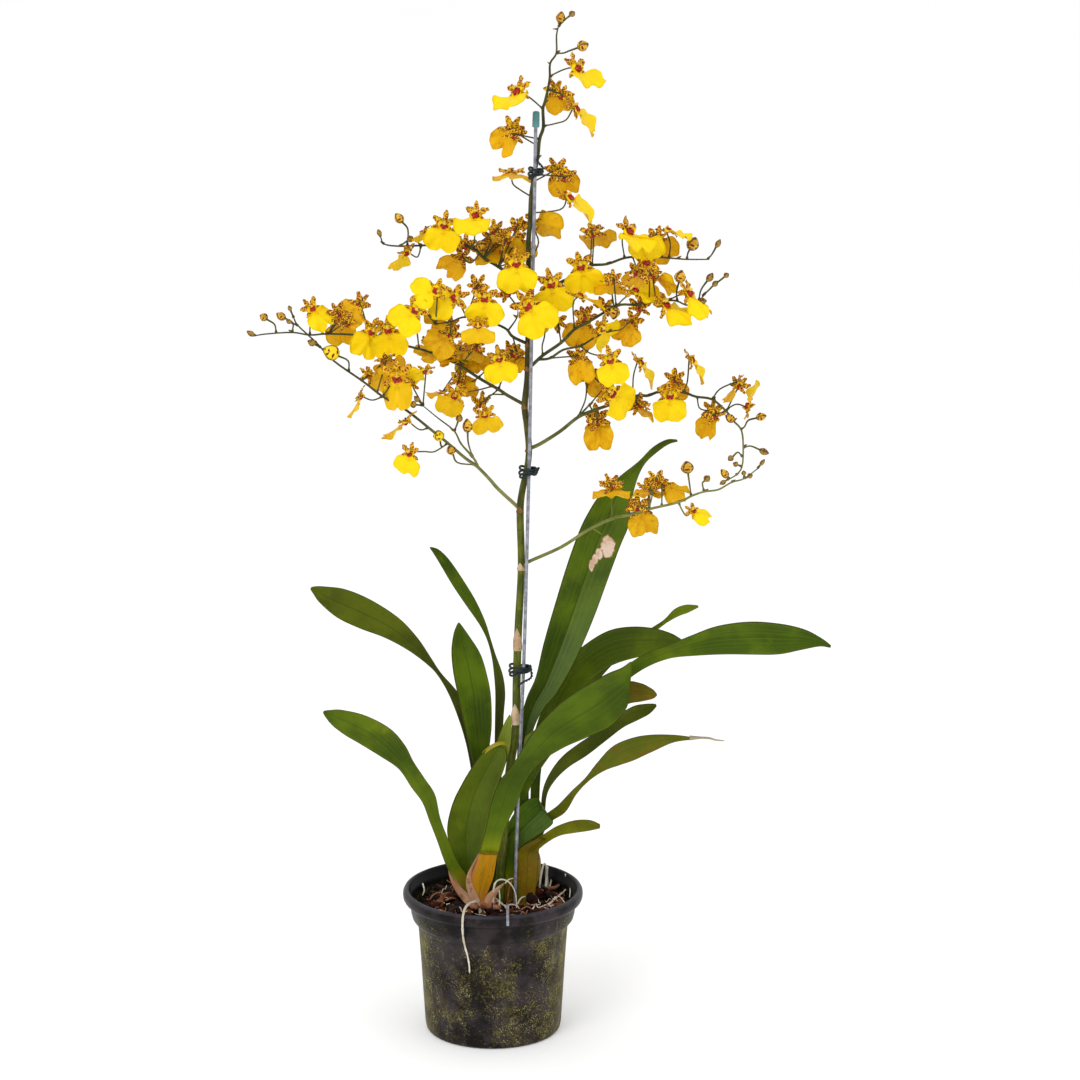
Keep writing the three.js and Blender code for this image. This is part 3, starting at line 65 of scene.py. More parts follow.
# Each leaf: how far its midrib sinks, and rows up the blade of [left across, left up, right across,
# right up, depth, how much deeper the right edge is than the left]. The lowest rows of leaf_olive,
# leaf_dark_petiole and leaf_small_back run hidden behind the old bulb.
LEAVES = {
    "leaf_left_upper": (2.6, [
        [-9, 84, -4, 84, 14, 0], [-12, 130, -5, 130, 15, 0], [-14, 180, -4, 182, 16, 2],
        [-17, 205, -6, 210, 17, 3], [-22, 226, -13, 232, 18, 4], [-30, 249, -24, 252, 20, 3],
        [-38.6, 265, -36.4, 267, 22, 2], [-47, 274, -44, 279, 24, 3], [-60, 284, -53, 293, 26, 4],
        [-76, 293, -66, 307.5, 28, 6], [-94, 300, -86, 321, 30, 6], [-110, 308, -104, 328.8, 32, 6],
        [-122, 318.7, -118.3, 330.8, 34, 4], [-126.6, 325.4, -124.6, 331, 35, 2],
        [-128.8, 328.8, -128.2, 330.2, 35.4, 0],
    ]),
    "leaf_left_lower": (2.4, [
        [-13, 84, -8.5, 84, -10, 3], [-17, 94, -10.6, 98, -11, 4], [-26, 108, -17, 112, -12, 4],
        [-33.5, 122, -25.4, 125, -14, 3], [-40, 141, -31.6, 141, -17, 2], [-45.4, 156, -37.6, 158, -20, 2],
        [-50.4, 170, -41.4, 176, -23, 2], [-58, 181, -48.6, 188, -26, 2], [-67, 195, -56.6, 201, -29, 4],
        [-80, 204.6, -62.6, 213, -32, 6], [-93, 213, -73, 225.4, -35, 6], [-105, 220.4, -90, 235, -38, 6],
        [-114, 227.6, -107, 239.4, -41, 4], [-118.8, 233.6, -115.6, 239.4, -42.4, 2],
        [-121, 237.4, -120.4, 238.8, -43, 0],
    ]),
    "leaf_back_upright": (2.6, [
        [-2, 84, 2, 84, 10, 0], [-4, 130, 1.6, 130, 10.6, 0], [-9, 180, -0.6, 180, 11, 0],
        [-15, 205, -2.4, 205, 11, 2], [-20, 228, -0.6, 228, 11.6, 4], [-24.4, 250, -0.9, 250, 12.4, 6],
        [-27.8, 268, -3.8, 266, 13.6, 6], [-29, 283, -8.4, 281, 15, 6], [-27.5, 295.1, -15.4, 293, 16.4, 4],
        [-25.4, 301.4, -20, 300, 17.6, 2], [-24, 304.4, -23, 304, 18, 0],
    ]),
    "leaf_narrow": (1.4, [
        [3.6, 84, 6.6, 84, 16, 0], [1.4, 150, 6, 150, 17, 0], [1.4, 200, 6.6, 200, 20, 0],
        [2, 235, 8, 235, 22, 1], [2.2, 252, 9.1, 252, 23.4, 1], [1.4, 265, 7.4, 266, 24.6, 1],
        [-0.4, 279, 2.2, 281, 26, 0], [-3.6, 291.6, -1.2, 292.4, 27, 0], [-9, 303, -4.8, 304.6, 28, 1],
        [-19, 318, -11.6, 320.6, 30, 2], [-28.6, 333, -20, 335, 32, 2], [-37.4, 348.6, -30, 350, 34, 1],
        [-41.6, 355.6, -37.4, 357.6, 35, 0], [-44, 359.2, -43.3, 359.8, 35.4, 0],
    ]),
    "leaf_tall": (3.4, [
        [21, 84, 25.6, 84, 18, 0], [19, 150, 26, 150, 17, 0], [17.6, 200, 26, 198, 16, 0],
        [19.6, 228, 28.6, 222, 16, 1], [24.4, 248, 36.4, 240, 17, 2], [31, 264, 46, 252.6, 18, 4],
        [36.8, 289, 60, 278, 20, 6], [46.4, 324, 74.4, 314, 23, 7], [60, 367, 90, 358.6, 27, 6],
        [69, 386.4, 96.4, 375, 29, 5], [78, 399.6, 98.6, 393, 31, 3], [90.6, 411.4, 102.6, 409.4, 33, 2],
        [103, 421.6, 108.4, 421, 35, 0], [113, 432, 118, 430, 37, -1], [122.6, 437.6, 125, 434.6, 39, -1],
        [130, 437.8, 130.8, 436.2, 41, 0],
    ]),
    "leaf_arching": (2.6, [
        [28, 84, 32, 84, 22, 0], [27, 150, 33, 150, 23, 0], [28, 200, 35, 196, 24, 0],
        [31, 226, 42, 219, 25, 0], [40, 250, 54, 238, 26, 1], [52, 274, 66, 257, 27, 3],
        [66, 288, 78, 268.4, 28, 5], [82.4, 298, 88.4, 274, 30, 6], [99, 301, 101.6, 278, 32, 6],
        [115, 300, 114, 281, 34, 5], [127, 296.4, 126, 284.6, 36, 3], [135.4, 291.4, 135, 288.4, 38, 0],
    ]),
    "leaf_small_back": (1, [
        [24, 84, 27.4, 84, 33, 0], [26.6, 160, 30.4, 158, 36, 0], [33, 208, 37.4, 204, 38, 0],
        [62, 254, 67, 250, 39, 0], [86, 280, 89, 277, 40, 0], [106, 295.6, 108.4, 292.6, 42, 0],
        [115, 301.4, 118, 299.6, 43, 0], [122.4, 306.6, 124.8, 304.8, 44, 0],
        [129.4, 314, 132.4, 309, 45, 0], [137, 317.2, 139.4, 311.6, 46, 0], [146, 317, 146.6, 315.4, 47, 0],
    ]),
    "leaf_far_right": (2.2, [
        [14.4, 84, 19, 84, 10.4, 0], [14.4, 140, 20, 138, 11.4, 0], [18.4, 180, 25, 176, 12, 0],
        [37, 216, 44, 209, 9, 0], [66, 246, 71, 239, 6, 0], [90, 267.6, 93, 259, 4, 0],
        [106, 279.6, 109, 270.6, 2, 0], [124, 287, 126, 277.6, 0, 2], [142, 295, 143, 279.8, -3, 4],
        [160, 301.6, 160, 280.6, -6, 6], [184, 304.8, 184, 280.6, -10, 7], [205, 303.4, 204, 281, -14, 6],
        [222, 299, 220, 284, -17, 4], [234, 292.6, 233, 286.6, -19, 2], [241, 287.4, 240.6, 285.6, -20, 0],
    ]),
    "leaf_front_broad": (3, [
        [-16, 84, -11, 84, -3, 0], [-18.6, 104, -11, 104, -3, 0], [-24, 120, -11, 122, -3.4, 2],
        [-31, 138, -7.4, 140, -4.4, 5], [-32.6, 152, -3.4, 154, -5.4, 7], [-28.6, 170, 0.4, 172, -7, 7],
        [-21.4, 185, 4, 184, -8, 7], [-13, 199, 8, 194, -8.6, 5], [-5, 209.4, 10, 204, -8.6, 3],
        [1, 213.8, 9, 210.4, -8, 1],
    ]),
    "leaf_big_front": (3.2, [
        [-12, 84, -4.4, 84, -15, 0], [-15, 100, -3.4, 101, -16, 0], [-12.6, 118, 0.6, 118, -17, 1],
        [-8.6, 135, 4.6, 135, -17.4, 1], [-4.6, 152, 9, 151, -17.6, 2], [-1, 170, 17, 168, -18, 3],
        [5, 186, 23, 185, -19, 4], [15, 199, 33, 199, -21, 5], [29, 223, 50, 211, -25, 6],
        [46, 242, 68, 219, -30, 8], [64, 256, 84, 227, -36, 9], [81, 266, 94, 238, -42, 8],
        [92, 270.6, 97.4, 247, -46, 5], [98.8, 275.6, 98.6, 262, -48, 1],
    ]),
    "leaf_speckled": (1.8, [
        [-7.6, 84, -3.6, 84, -10.8, 0], [-7.2, 108, -2.6, 108, -11.4, 0], [-2, 136, 3, 136, -12, 0],
        [4, 164, 10, 162, -12.6, 0], [16, 190, 22.6, 186, -13.6, 0], [33, 211, 40, 204.6, -15, 0],
        [48, 226, 56, 217, -17, 1], [62, 237, 70, 226, -20, 1], [78, 250, 84, 235, -23, 2],
        [94, 260, 96, 243.4, -26, 3], [105, 259.4, 106, 245.6, -28, 3], [113.4, 255.4, 114, 247.6, -30, 1],
        [117.2, 251.8, 117.4, 250, -31, 0],
    ]),
    "leaf_dark_petiole": (2, [
        [26.6, 84, 29.6, 84, 15, 0], [28.4, 125, 31.4, 125, 14, 0], [34, 160, 37, 159, 12, 0],
        [36, 179, 39, 176, 10, 0], [41, 192, 45, 187, 8, 0], [50, 204.6, 55, 197, 6, 1],
        [62, 214.6, 67.6, 205.6, 3, 2], [76, 224, 82, 217, 0, 2], [88, 234, 94, 226.6, -3, 3],
        [100, 242, 104, 232, -6, 3], [109, 244, 112, 236.6, -9, 2], [116.6, 244, 117.2, 242, -11, 0],
    ]),
    "leaf_olive": (2, [
        [27, 84, 30.4, 84, 17, 0], [27.6, 128, 31.4, 126, 15, 0], [34.6, 156, 39, 152, 11, 0],
        [47, 168, 52, 162.6, 5, 0], [57, 179, 60, 176, -4, 0], [66.4, 188.4, 69, 186.2, -10, 0],
        [75, 200, 80, 194, -15, 2], [86, 212, 91, 198, -20, 4], [100, 218.4, 101, 201.6, -26, 5],
        [114, 221, 113, 207.6, -31, 4], [129, 220.8, 129, 215, -36, 2], [144, 219, 144, 217.4, -41, 0],
    ]),
    "leaf_low_right": (1.4, [
        [17, 84, 20, 84, -0.9, 0], [17.4, 104, 20.6, 104, -1, 0], [18, 119, 22.4, 115, -1.6, 0],
        [20, 131.6, 25, 126, -3, 0], [27, 140.6, 33, 134.4, -6, 0], [36, 145.4, 41, 140.8, -10, 0],
        [46, 152, 49, 145.2, -15, 1], [58, 156.4, 59, 147.2, -20, 2], [69, 156.8, 69, 148.6, -25, 1],
        [77, 153.8, 77, 150.4, -28, 0],
    ]),
    "leaf_dark_short": (2, [
        [9, 133, 13.4, 132, 6.4, 0], [8.4, 141, 17.6, 134, 5.6, -4.4], [9.4, 149.6, 24.6, 140, 5, -4.4],
        [13.6, 159, 33, 145.6, 5, -4.4], [20, 168, 41, 151.6, 5.4, -4], [27, 173.2, 43.4, 155.6, 6, -3],
        [32, 173.6, 40, 160, 6.4, -2], [34.4, 169.6, 37.4, 164.4, 6.6, 0],
    ]),
}
# Dry skins and sheaths at the foot of the leaves, a new shoot and a cut stub: the same rows
SKINS = {
    "skin_left": [
        [-32.4, 119.6, -32, 119.6, -13.4, 0], [-31.4, 113.5, -28.8, 113.8, -14, 1],
        [-28.6, 106, -25, 108.8, -14.6, 1], [-24.2, 98.6, -19.6, 102.4, -16, 1],
        [-19, 92.6, -12.8, 97.4, -18, 1], [-12, 88.6, -6.6, 93.6, -20, 0],
    ],
    "skin_edge": [
        [-9.8, 132.4, -9.2, 132.4, -19.4, 0], [-14.2, 124.4, -12.4, 125, -19.6, 0],
        [-18.6, 115, -15.6, 116, -19.8, 0], [-19.4, 106.5, -14.6, 108, -20, 0],
        [-16.6, 98, -11, 100, -20.2, 0], [-12, 91, -8, 93, -20.4, 0],
    ],
    "foot_front": [
        [-14, 90, -5.6, 90, -18.6, 0], [-17, 101, -4.2, 101, -18.8, 0], [-16.6, 112, -0.2, 112, -18.9, 0],
        [-13.2, 122, 1.8, 122, -19, 0], [-9.6, 132.6, 3.2, 132.6, -19.1, 0],
    ],
    "tip_dry": [
        [141, 220.4, 141, 217, -40.4, 0], [148, 219.6, 148, 217.8, -41.6, 0],
        [155, 219.2, 155, 217.6, -42.6, 0], [160, 217.6, 160, 216.4, -43.4, 0],
        [166, 216.8, 166, 216.2, -44.2, 0],
    ],
    "skin_right": [
        [8, 109.2, 8.4, 108.6, -20, 0], [3, 106, 4.6, 103.4, -19.4, 0], [-2, 102.4, 2, 98.4, -18.8, 0],
        [-6, 98, 0.6, 93.4, -18.6, 0], [-8.6, 93, -3, 88, -19, 0],
    ],
    "skin_top": [
        [-7.4, 207.6, -6.2, 206, -9.8, 0], [-3, 212, -1.6, 209.6, -10.2, 0], [2, 215, 3, 212.4, -9.8, 0],
        [6.4, 216, 7, 213.6, -9.4, 0], [10, 215, 10.4, 213, -8.6, 0],
    ],
    "sheath_old": [
        [17, 92, 29.6, 92, -2.2, 1.5], [16.8, 108, 31.4, 110, -2.4, 1.5], [16.8, 121, 32.6, 124, -2.8, 1.2],
        [17.2, 130, 33.2, 134, -4, 0.6], [19.6, 135.5, 34.4, 139.4, -6, 0],
        [25.6, 140, 36.4, 141.6, -7.6, 0], [33.6, 143.8, 38.4, 142.4, -9.6, 0],
    ],
    "sheath_green": [
        [6.6, 92, 15.2, 92, 3, 0], [6.8, 110, 15.4, 110, 2.4, 0], [7.4, 124, 15.8, 126, 2.4, 0],
        [8.4, 134, 16.4, 137, 2.6, 0], [10.6, 142, 18.4, 145, 3.2, 0], [15.4, 150, 20, 150.6, 3.8, 0],
    ],
    "shoot": [
        [-2, 196, 6, 190, -5, 0], [0, 207, 9.6, 200, -4.8, 0], [4, 218, 12.6, 212, -4.6, 0],
        [8.6, 229.6, 13.6, 225, -4.2, 0], [12, 236, 13.2, 235, -4, 0],
    ],
    "stub": [
        [21.6, 205, 26.4, 200, 9, 0], [22.6, 214, 30.6, 207.4, 9, 0], [24, 220, 35.6, 215, 9.4, 0],
        [30.6, 224.6, 38, 220.6, 10, 0], [36.6, 227.6, 39, 226, 10.4, 0],
    ],
}

# Each spray: slope, how fast it deepens away from the stem, then
# branches: (radius, places as [across, up]),
# flowers: [across, up, lean, turn, nod, size, the stalk's places, depth], the last two where given,
# hidden: [across, up] of sepals and petals whose lip the flowers round them hide,
# buds: [across, up, length, width, the stalk's places where given]
SPRAYS = {
    "spray_top": dict(slope=0, branches=[
        (1.9, [[26, 556.4], [26, 572], [26.2, 582], [27.2, 592.5], [27.7, 608], [28.8, 617.5], [30, 625.5],
        [32.3, 637], [33.7, 650], [36.3, 658.3], [36, 670.5], [37.2, 675.5], [39.4, 684.5], [40.7, 693],
        [41, 702.5], [45.2, 709.5], [45.3, 721.5], [47, 729.5]]),
        (0.7, [[40.9, 702], [39, 703.5]]),
        (0.7, [[45.6, 726], [42.5, 726]]),
    ], flowers=[
        [59.3, 699.5, 20, 50, 20, 1, [[41, 692.8], [43.5, 695], [51.2, 698.5]]],
        [18.5, 683.5, -10, -40, 35, 1, [[36, 671], [28, 678]]], [44.5, 684, 20, 180, 0, 0.75],
        [58, 671, 45, 80, 0, 1, [[36.2, 659], [45, 661], [52, 663.5]]],
        [14.5, 657, -35, 160, 0, 0.9, [[33, 645], [20, 653]]],
        [14.5, 627, 0, 180, 80, 0.95, [[28, 610], [20, 615], [15, 619.5]]],
        [46, 628.5, 25, 180, 0, 0.9, [[29.4, 620.3]]], [54, 609, 55, 80, 0, 1, [[27.6, 598.5], [48, 601]]],
        [28.5, 592, 80, 140, 0, 1, [[26, 564], [33, 578]]],
    ], hidden=[
        [49, 680], [16, 653], [51, 623],
    ], buds=[
        [48, 734, 8, 6.4, [[47, 729.5]]], [56, 736.4, 4.5, 4.5, [[46.6, 727.6], [51.3, 732.6]]],
        [63.4, 714.4, 8, 7.6, [[45.2, 709.3], [50, 709.5], [54, 711]]],
    ]),
    "spray_right_4": dict(slope=0.22, branches=[
        (1.3, [[26.3, 536], [48, 549.5], [52, 551.5], [60, 557], [69, 561.7], [80.5, 562.7], [92.8, 567],
        [105, 568], [118.7, 567.3], [129.4, 566.5], [136, 566], [150.8, 566]]),
    ], flowers=[
        [41.6, 549, 10, 0, 0, 1], [71.3, 586, 25, 160, -50, 0.95, [[70.3, 562], [71, 575.5]]],
        [62.3, 561.5, 12, 0, 0, 1], [95.6, 586, 20, 45, 35, 1, [[92.7, 567], [91, 580]]],
        [108, 563, 180, 0, 30, 1], [114.5, 579.5, 40, 180, 0, 0.8],
        [122.5, 586, 85, 100, 40, 0.8, [[123.5, 567.2], [124.3, 577]]],
        [103, 555.5, 0, 180, -50, 0.9, [[98.4, 567.3]]],
    ], hidden=[
        [70, 584], [115, 582], [101, 557],
    ], buds=[
        [139.8, 577, 10, 9, [[136, 566], [136.5, 570]]],
        [157.4, 577.3, 6.5, 4, [[150.4, 566], [153.5, 570]]],
    ]),
    "spray_right_3": dict(slope=-0.25, branches=[
        (1.3, [[24.8, 489], [28.5, 491], [36, 498], [48.7, 507], [58, 516.5], [66, 520.7], [87, 533],
        [98.7, 534], [110, 535.5], [123, 537], [129.5, 536.5], [137, 533.5], [144.5, 536.5], [148, 541]]),
        (1, [[33, 495], [41, 496], [50.3, 502], [62.5, 504.8], [73, 511.3], [81.5, 514.7], [90.5, 516.5],
        [95, 520.7]]),
    ], flowers=[
        [61, 540, 70, 100, 0, 0.9, [[58, 516.5], [57, 534]], -17],
        [24.7, 533.5, 38, 0, 0, 1.1, [[36, 498], [35.5, 504.5], [36.7, 517]], -16],
        [45.4, 521.7, -110, 150, 0, 0.8, [[48.7, 507]]], [65, 522.5, -15, 180, 0, 0.9],
        [77, 518, 30, 30, -40, 0.9, [[81, 514.4]]], [99, 522, -30, 150, 0, 0.8],
        [99.3, 543.5, 75, 75, 0, 0.95, [[87.5, 533], [92, 538]]],
        [82.5, 551, 0, 180, 60, 0.8, [[85.5, 532]]],
        [113.5, 556, 50, 120, 0, 0.85, [[115, 536.2], [113.5, 545]]], [121, 534, 45, 60, 0, 1],
        [137.3, 542.5, 35, 60, 0, 0.95, [[123, 537], [129, 540]]],
        [83, 495, 12, 0, 0, 0.9, [[62.5, 504.6], [69, 499.5]]],
        [61, 497, 10, 180, 0, 0.85, [[41, 496], [53, 497]]],
    ], hidden=[
        [85, 551], [111, 555], [65, 526], [79, 532], [103, 532],
    ], buds=[
        [86, 528, 9, 8], [131.5, 554, 9, 8, [[129.5, 536.5], [129, 543]]],
        [152, 553.5, 7, 5, [[144.5, 536.5], [146, 544.5]]], [163.5, 554.8, 4, 4, [[148, 541], [154, 547]]],
        [155.7, 549, 5, 4, [[147, 540], [151, 544]]], [147, 536.4, 6, 5, [[143, 535.9]]],
    ]),
    "spray_right_2": dict(slope=0.25, branches=[
        (1.4, [[26.2, 431], [34, 434.5], [48, 443.5], [61, 454], [73.5, 459.3], [84, 463], [101.3, 469],
        [109.5, 469.2], [118, 472], [134, 471.5], [143, 468.5], [154.5, 466.5], [164.5, 458], [169.5, 451.2],
        [175.2, 444.5], [176.7, 432.3], [176, 418], [171.7, 412], [167.2, 409.2]]),
        (0.9, [[60, 453.3], [68.5, 462.5], [79, 475]]),
    ], flowers=[
        [67, 483, 60, 180, 0, 0.8, [[60.5, 453.6], [66, 467.5]]], [83.5, 471, 50, 20, -20, 1.05],
        [74, 452.5, 5, 180, 0, 1, [[68.5, 462.5]]], [104, 463, -26, 180, 75, 0.9],
        [125, 469.7, 0, 0, 0, 0.95], [128, 481, 0, 180, 0, 0.75, [[118, 472]]],
        [139.5, 495, 35, 85, 0, 0.85, [[134, 471.5], [137, 479]]],
        [103.5, 493, 35, 85, 0, 0.9, [[99, 468.2], [99.3, 483]]],
        [155, 457.5, -5, 140, 0, 0.9, [[144, 468.3], [146, 460]]],
        [172, 478, -30, 90, 0, 0.75, [[154.5, 466.5], [160, 474]]],
        [180, 461, 165, 90, 0, 0.9, [[164.5, 458], [168, 461.5], [173, 463]]],
    ], hidden=[
        [60, 494], [67, 486], [128, 481], [103, 463], [74, 450], [156, 455], [173, 476],
    ], buds=[
        [189, 454, 7.5, 6, [[175, 444.7], [177.5, 447], [180, 451.5]]], [167, 453, 8, 6],
        [191.5, 429, 7.5, 5, [[176.7, 431.5], [181.8, 433]]],
        [168, 424, 4.5, 4.5, [[176.3, 425], [173, 428.5]]], [171.4, 420, 4, 4], [163.8, 413.2, 8, 5.5],
        [162.6, 406.6, 5, 3.5],
    ]),
    "spray_right_1": dict(slope=-0.22, branches=[
        (1.3, [[20.8, 345], [26, 349], [48.7, 359.5], [67, 371.5], [85, 380.5], [96.3, 383], [110.8, 387.3],
        [131.5, 392.3], [141, 397], [149.8, 400], [159.7, 401.5], [168.7, 406.7], [177.8, 409.5],
        [187, 416.7]]),
        (0.7, [[71, 373.6], [77.5, 369]]),
    ], flowers=[
        [84, 404, 0, 180, 75, 0.95, [[85, 380.5]]], [110, 403, 0, 180, 75, 0.8, [[110.8, 387.3]]],
        [121, 405, 60, 150, 0, 0.85, [[119.8, 389.5]]], [104, 386.5, 15, 180, 0, 0.9],
        [142, 386, 60, 40, 0, 0.6, [[131.5, 392.3], [134.5, 386], [137.5, 382.5]]],
    ], hidden=[
        [84, 404], [111, 402], [116, 408], [103, 389],
    ], buds=[
        [137.5, 417.5, 9, 9, [[140.5, 396.8]]], [151.5, 409.5, 5, 5, [[149.5, 400], [148.3, 406]]],
        [177.3, 413.6, 3.5, 3.5], [181.8, 411.4, 4, 4], [190.3, 421.3, 5.5, 3, [[187, 416.7]]],
    ]),
    "spray_left_1": dict(slope=-0.3, branches=[
        (1.4, [[20.3, 387], [5, 401.5], [-1, 408.5], [-10, 418], [-18.7, 424.4], [-30.6, 435], [-41.5, 444],
        [-60, 459], [-76, 468.5], [-90.3, 479.8], [-110, 494], [-122, 507], [-134.5, 519], [-137.5, 524.5]]),
        (1, [[-9, 417], [-12.8, 424.5], [-21.4, 434.6], [-26.3, 444], [-38, 453.5], [-48, 462]]),
    ], flowers=[
        [-57.5, 428, -10, -30, 0, 0.75, [[-30.6, 435], [-40, 429], [-47, 429]]],
        [-60, 451.4, -45, 85, 0, 0.9, [[-44, 446], [-51, 445]]], [-66, 482.5, 0, 0, 0, 1.15],
        [-85, 484, 60, 150, 0, 0.75], [-92, 469, -20, 85, 0, 0.75, [[-76, 468.5], [-84, 466]]],
        [-73.5, 494.7, 20, 180, -50, 0.85, [[-80, 471.5]]], [-46, 487, -70, 45, 0, 0.7],
    ], hidden=[
        [-57, 478],
    ], buds=[
        [-55, 463, 5, 5, [[-48, 462]]], [-52.4, 467, 5, 4, [[-47.6, 461.8]]],
        [-22.6, 453, 5.5, 5, [[-26, 443.6]]], [-17, 447.7, 10, 7, [[-13.4, 425.2], [-16.3, 435]]],
        [-37, 440.5, 8, 8, [[-30.6, 435], [-35, 432.5]]], [-28.5, 430, 7, 7, [[-12, 419.4], [-24, 421]]],
        [-112, 500, 12, 11, [[-99.7, 486.5], [-100, 494]]], [-141, 522, 4, 3.5, [[-134.5, 519]]],
        [-125.5, 507, 6, 5, [[-119, 503.6]]], [-140.3, 531.5, 4, 3, [[-137.5, 524.5]]],
    ]),
    "spray_left_2": dict(slope=0.25, branches=[
        (1.3, [[23.3, 462.6], [11.3, 469.4], [5, 473.7], [-9, 482], [-21.5, 490.5], [-40, 499.5], [-56, 504],
        [-72, 508], [-88.3, 512], [-113, 513.3], [-126.5, 512.5], [-138.7, 514.3], [-157, 513.2],
        [-164.5, 512]]),
    ], flowers=[
        [-4.7, 456, 10, 0, -20, 0.8, [[10.3, 470], [-2, 469]]],
        [-25.5, 469.5, -25, 0, -10, 0.85, [[1, 476], [-10.5, 473]]], [-15, 478, 0, 180, 0, 0.45],
        [-34, 472, -75, 90, 0, 0.55], [5.4, 496, 8, 0, 0, 0.85], [-9, 499, 10, 180, 0, 0.6],
        [-38, 503, 0, 180, 60, 0.8], [-22, 503, 0, 180, 60, 0.8], [-72, 516.7, 5, 0, 0, 0.95],
        [-83.5, 515.5, -25, 20, 0, 0.9], [-125, 531.7, 40, 30, 0, 0.8, [[-126.5, 512.5]]],
        [-106.5, 522.5, 10, 180, 0, 0.8], [-91.5, 534.5, -45, 150, 0, 0.85, [[-88.3, 512], [-87.5, 522]]],
        [-43.5, 506, -20, 180, 50, 0.65], [-31, 501, 30, 180, 55, 0.65], [-13, 503, -10, 180, 55, 0.65],
        [-18.5, 497, 10, 180, 20, 0.6], [13, 501, 40, 180, 50, 0.6, [[5, 473.7], [10, 490]]],
        [-21, 481, 35, 180, 40, 0.6],
    ], hidden=[
        [-29, 499], [-10, 504], [-41, 508], [14, 499], [-107, 528], [-101, 521], [-23, 480], [-8, 463],
    ], buds=[
        [-158.5, 525, 6, 6, [[-150, 513.8], [-151, 520]]],
        [-146.3, 526, 7.5, 6, [[-138.8, 514.3], [-138.2, 521]]], [-119, 519.5, 6, 4, [[-117.5, 513.2]]],
        [-57, 517.5, 4.5, 4.5, [[-50.5, 502.6], [-52, 515]]], [-167.6, 513.7, 6.5, 4, [[-164.5, 512]]],
    ]),
    "spray_left_3": dict(slope=-0.35, branches=[
        (1.2, [[25.8, 506], [15, 511.3], [10.5, 516.7], [1, 521], [-17.3, 525.3], [-28, 522],
        [-38.7, 520.3]]),
        (0.7, [[11.6, 515.4], [18, 525], [18.5, 532.5]]),
    ], flowers=[
        [19, 497, 20, 180, 0, 0.5, [[15, 511.3]]], [-4.5, 539, 0, 0, 0, 0.95], [-25, 539, -75, 0, 0, 0.95],
        [-38, 544, -80, 0, 0, 0.8], [-52.7, 530.5, -45, 0, 0, 0.9, [[-38.7, 520.3], [-45, 529.3]]],
        [-28, 520, -60, 180, 0, 0.6], [-29, 513, -45, 180, 0, 0.85], [-9.2, 520, 0, 0, -35, 0.85],
        [-37, 527, -30, 180, 50, 0.6],
    ], hidden=[
        [-10, 547], [11, 542], [-49, 534],
    ], buds=[
    ]),
    "spray_left_4": dict(slope=0.2, branches=[
        (1.3, [[26.3, 546], [5.3, 560.7], [-5, 567], [-12.8, 574], [-28.8, 576], [-48, 575.8],
        [-63.3, 575.3], [-74, 576.8], [-76.5, 582]]),
        (0.7, [[-38.6, 576], [-38, 579], [-39.4, 582]]),
    ], flowers=[
        [-58.5, 571, -35, 60, 0, 0.75, [[-48.5, 575.8], [-50, 569.5], [-52.3, 567.7]]],
        [-32.3, 590.5, -10, 0, 0, 0.9], [-45.5, 586, -40, 60, 0, 0.5],
        [-10.4, 597.4, -10, -20, 35, 0.95, [[-13.5, 574.2], [-11.5, 580]]],
        [-20.5, 567, -45, 180, 0, 0.85, [[-8, 570], [-14, 563.5]]], [1, 581, 0, 180, 0, 0.8],
        [8, 577, 50, 180, 0, 0.7], [19, 579, 20, 180, 0, 0.75], [17.5, 563.7, 3, 0, 0, 1, None, -14],
        [-27, 584, -15, 180, 50, 0.6], [-3, 571.5, 10, 180, 55, 0.65], [9, 584, -20, 180, 60, 0.6],
    ], hidden=[
        [3, 586], [11, 579], [17, 588], [-18, 576],
    ], buds=[
        [-63.5, 595, 8, 6.5, [[-58, 575.5], [-57.5, 587]]], [-56, 580.5, 5, 5], [-7, 576, 8, 7],
        [-77.5, 584.8, 5, 3.5, [[-76.5, 582]]],
    ]),
}

# Each root: its radius and its places as [across, up, depth]
ROOTS = {
    "root_over_rim": (1.1, [
        [-8.5, 83, -21], [-11, 93.5, -24], [-15.5, 94, -38], [-19.5, 90.8, -53], [-21.3, 86, -60.3],
        [-22, 80.5, -63], [-22.1, 74, -62.5], [-21.6, 67, -57.8], [-20.3, 60, -53], [-18.5, 53, -52],
        [-17.4, 46, -51.8], [-17.1, 40, -51.4],
    ]),
    "root_arch": (0.8, [
        [0, 84, -18], [0.5, 104, -19], [3, 110.5, -19], [8, 111.5, -19], [13, 108, -19], [16.4, 100, -19],
        [17.4, 84, -19],
    ]),
    "root_front": (0.8, [
        [0.5, 85, -12], [1.5, 96, -12], [5, 93.6, -12.6], [9, 91.8, -13], [14, 92.6, -13], [18.5, 90.4, -13],
        [19.5, 83, -13],
    ]),
    "root_right": (0.9, [
        [33, 92, 24], [34, 110, 33], [36.5, 123, 40], [38.6, 121, 41], [39.6, 108, 38], [41, 95, 31],
    ]),
}
# Each bulb: its depth, its thickness as a share of its width, and rows of [across, up, half width]
BULBS = {
    "bulb_old": (6, 0.55, [
        [20, 84, 4], [22, 98, 6.8], [25.5, 118, 8.8], [26.5, 130, 7.4], [27, 135.5, 3.4],
    ]),
    "bulb_green": (5.5, 0.5, [
        [11, 84, 3], [10.5, 98, 4], [10.5, 113, 4.6], [11.5, 126, 3.4], [12, 131, 1.6],
    ]),
}
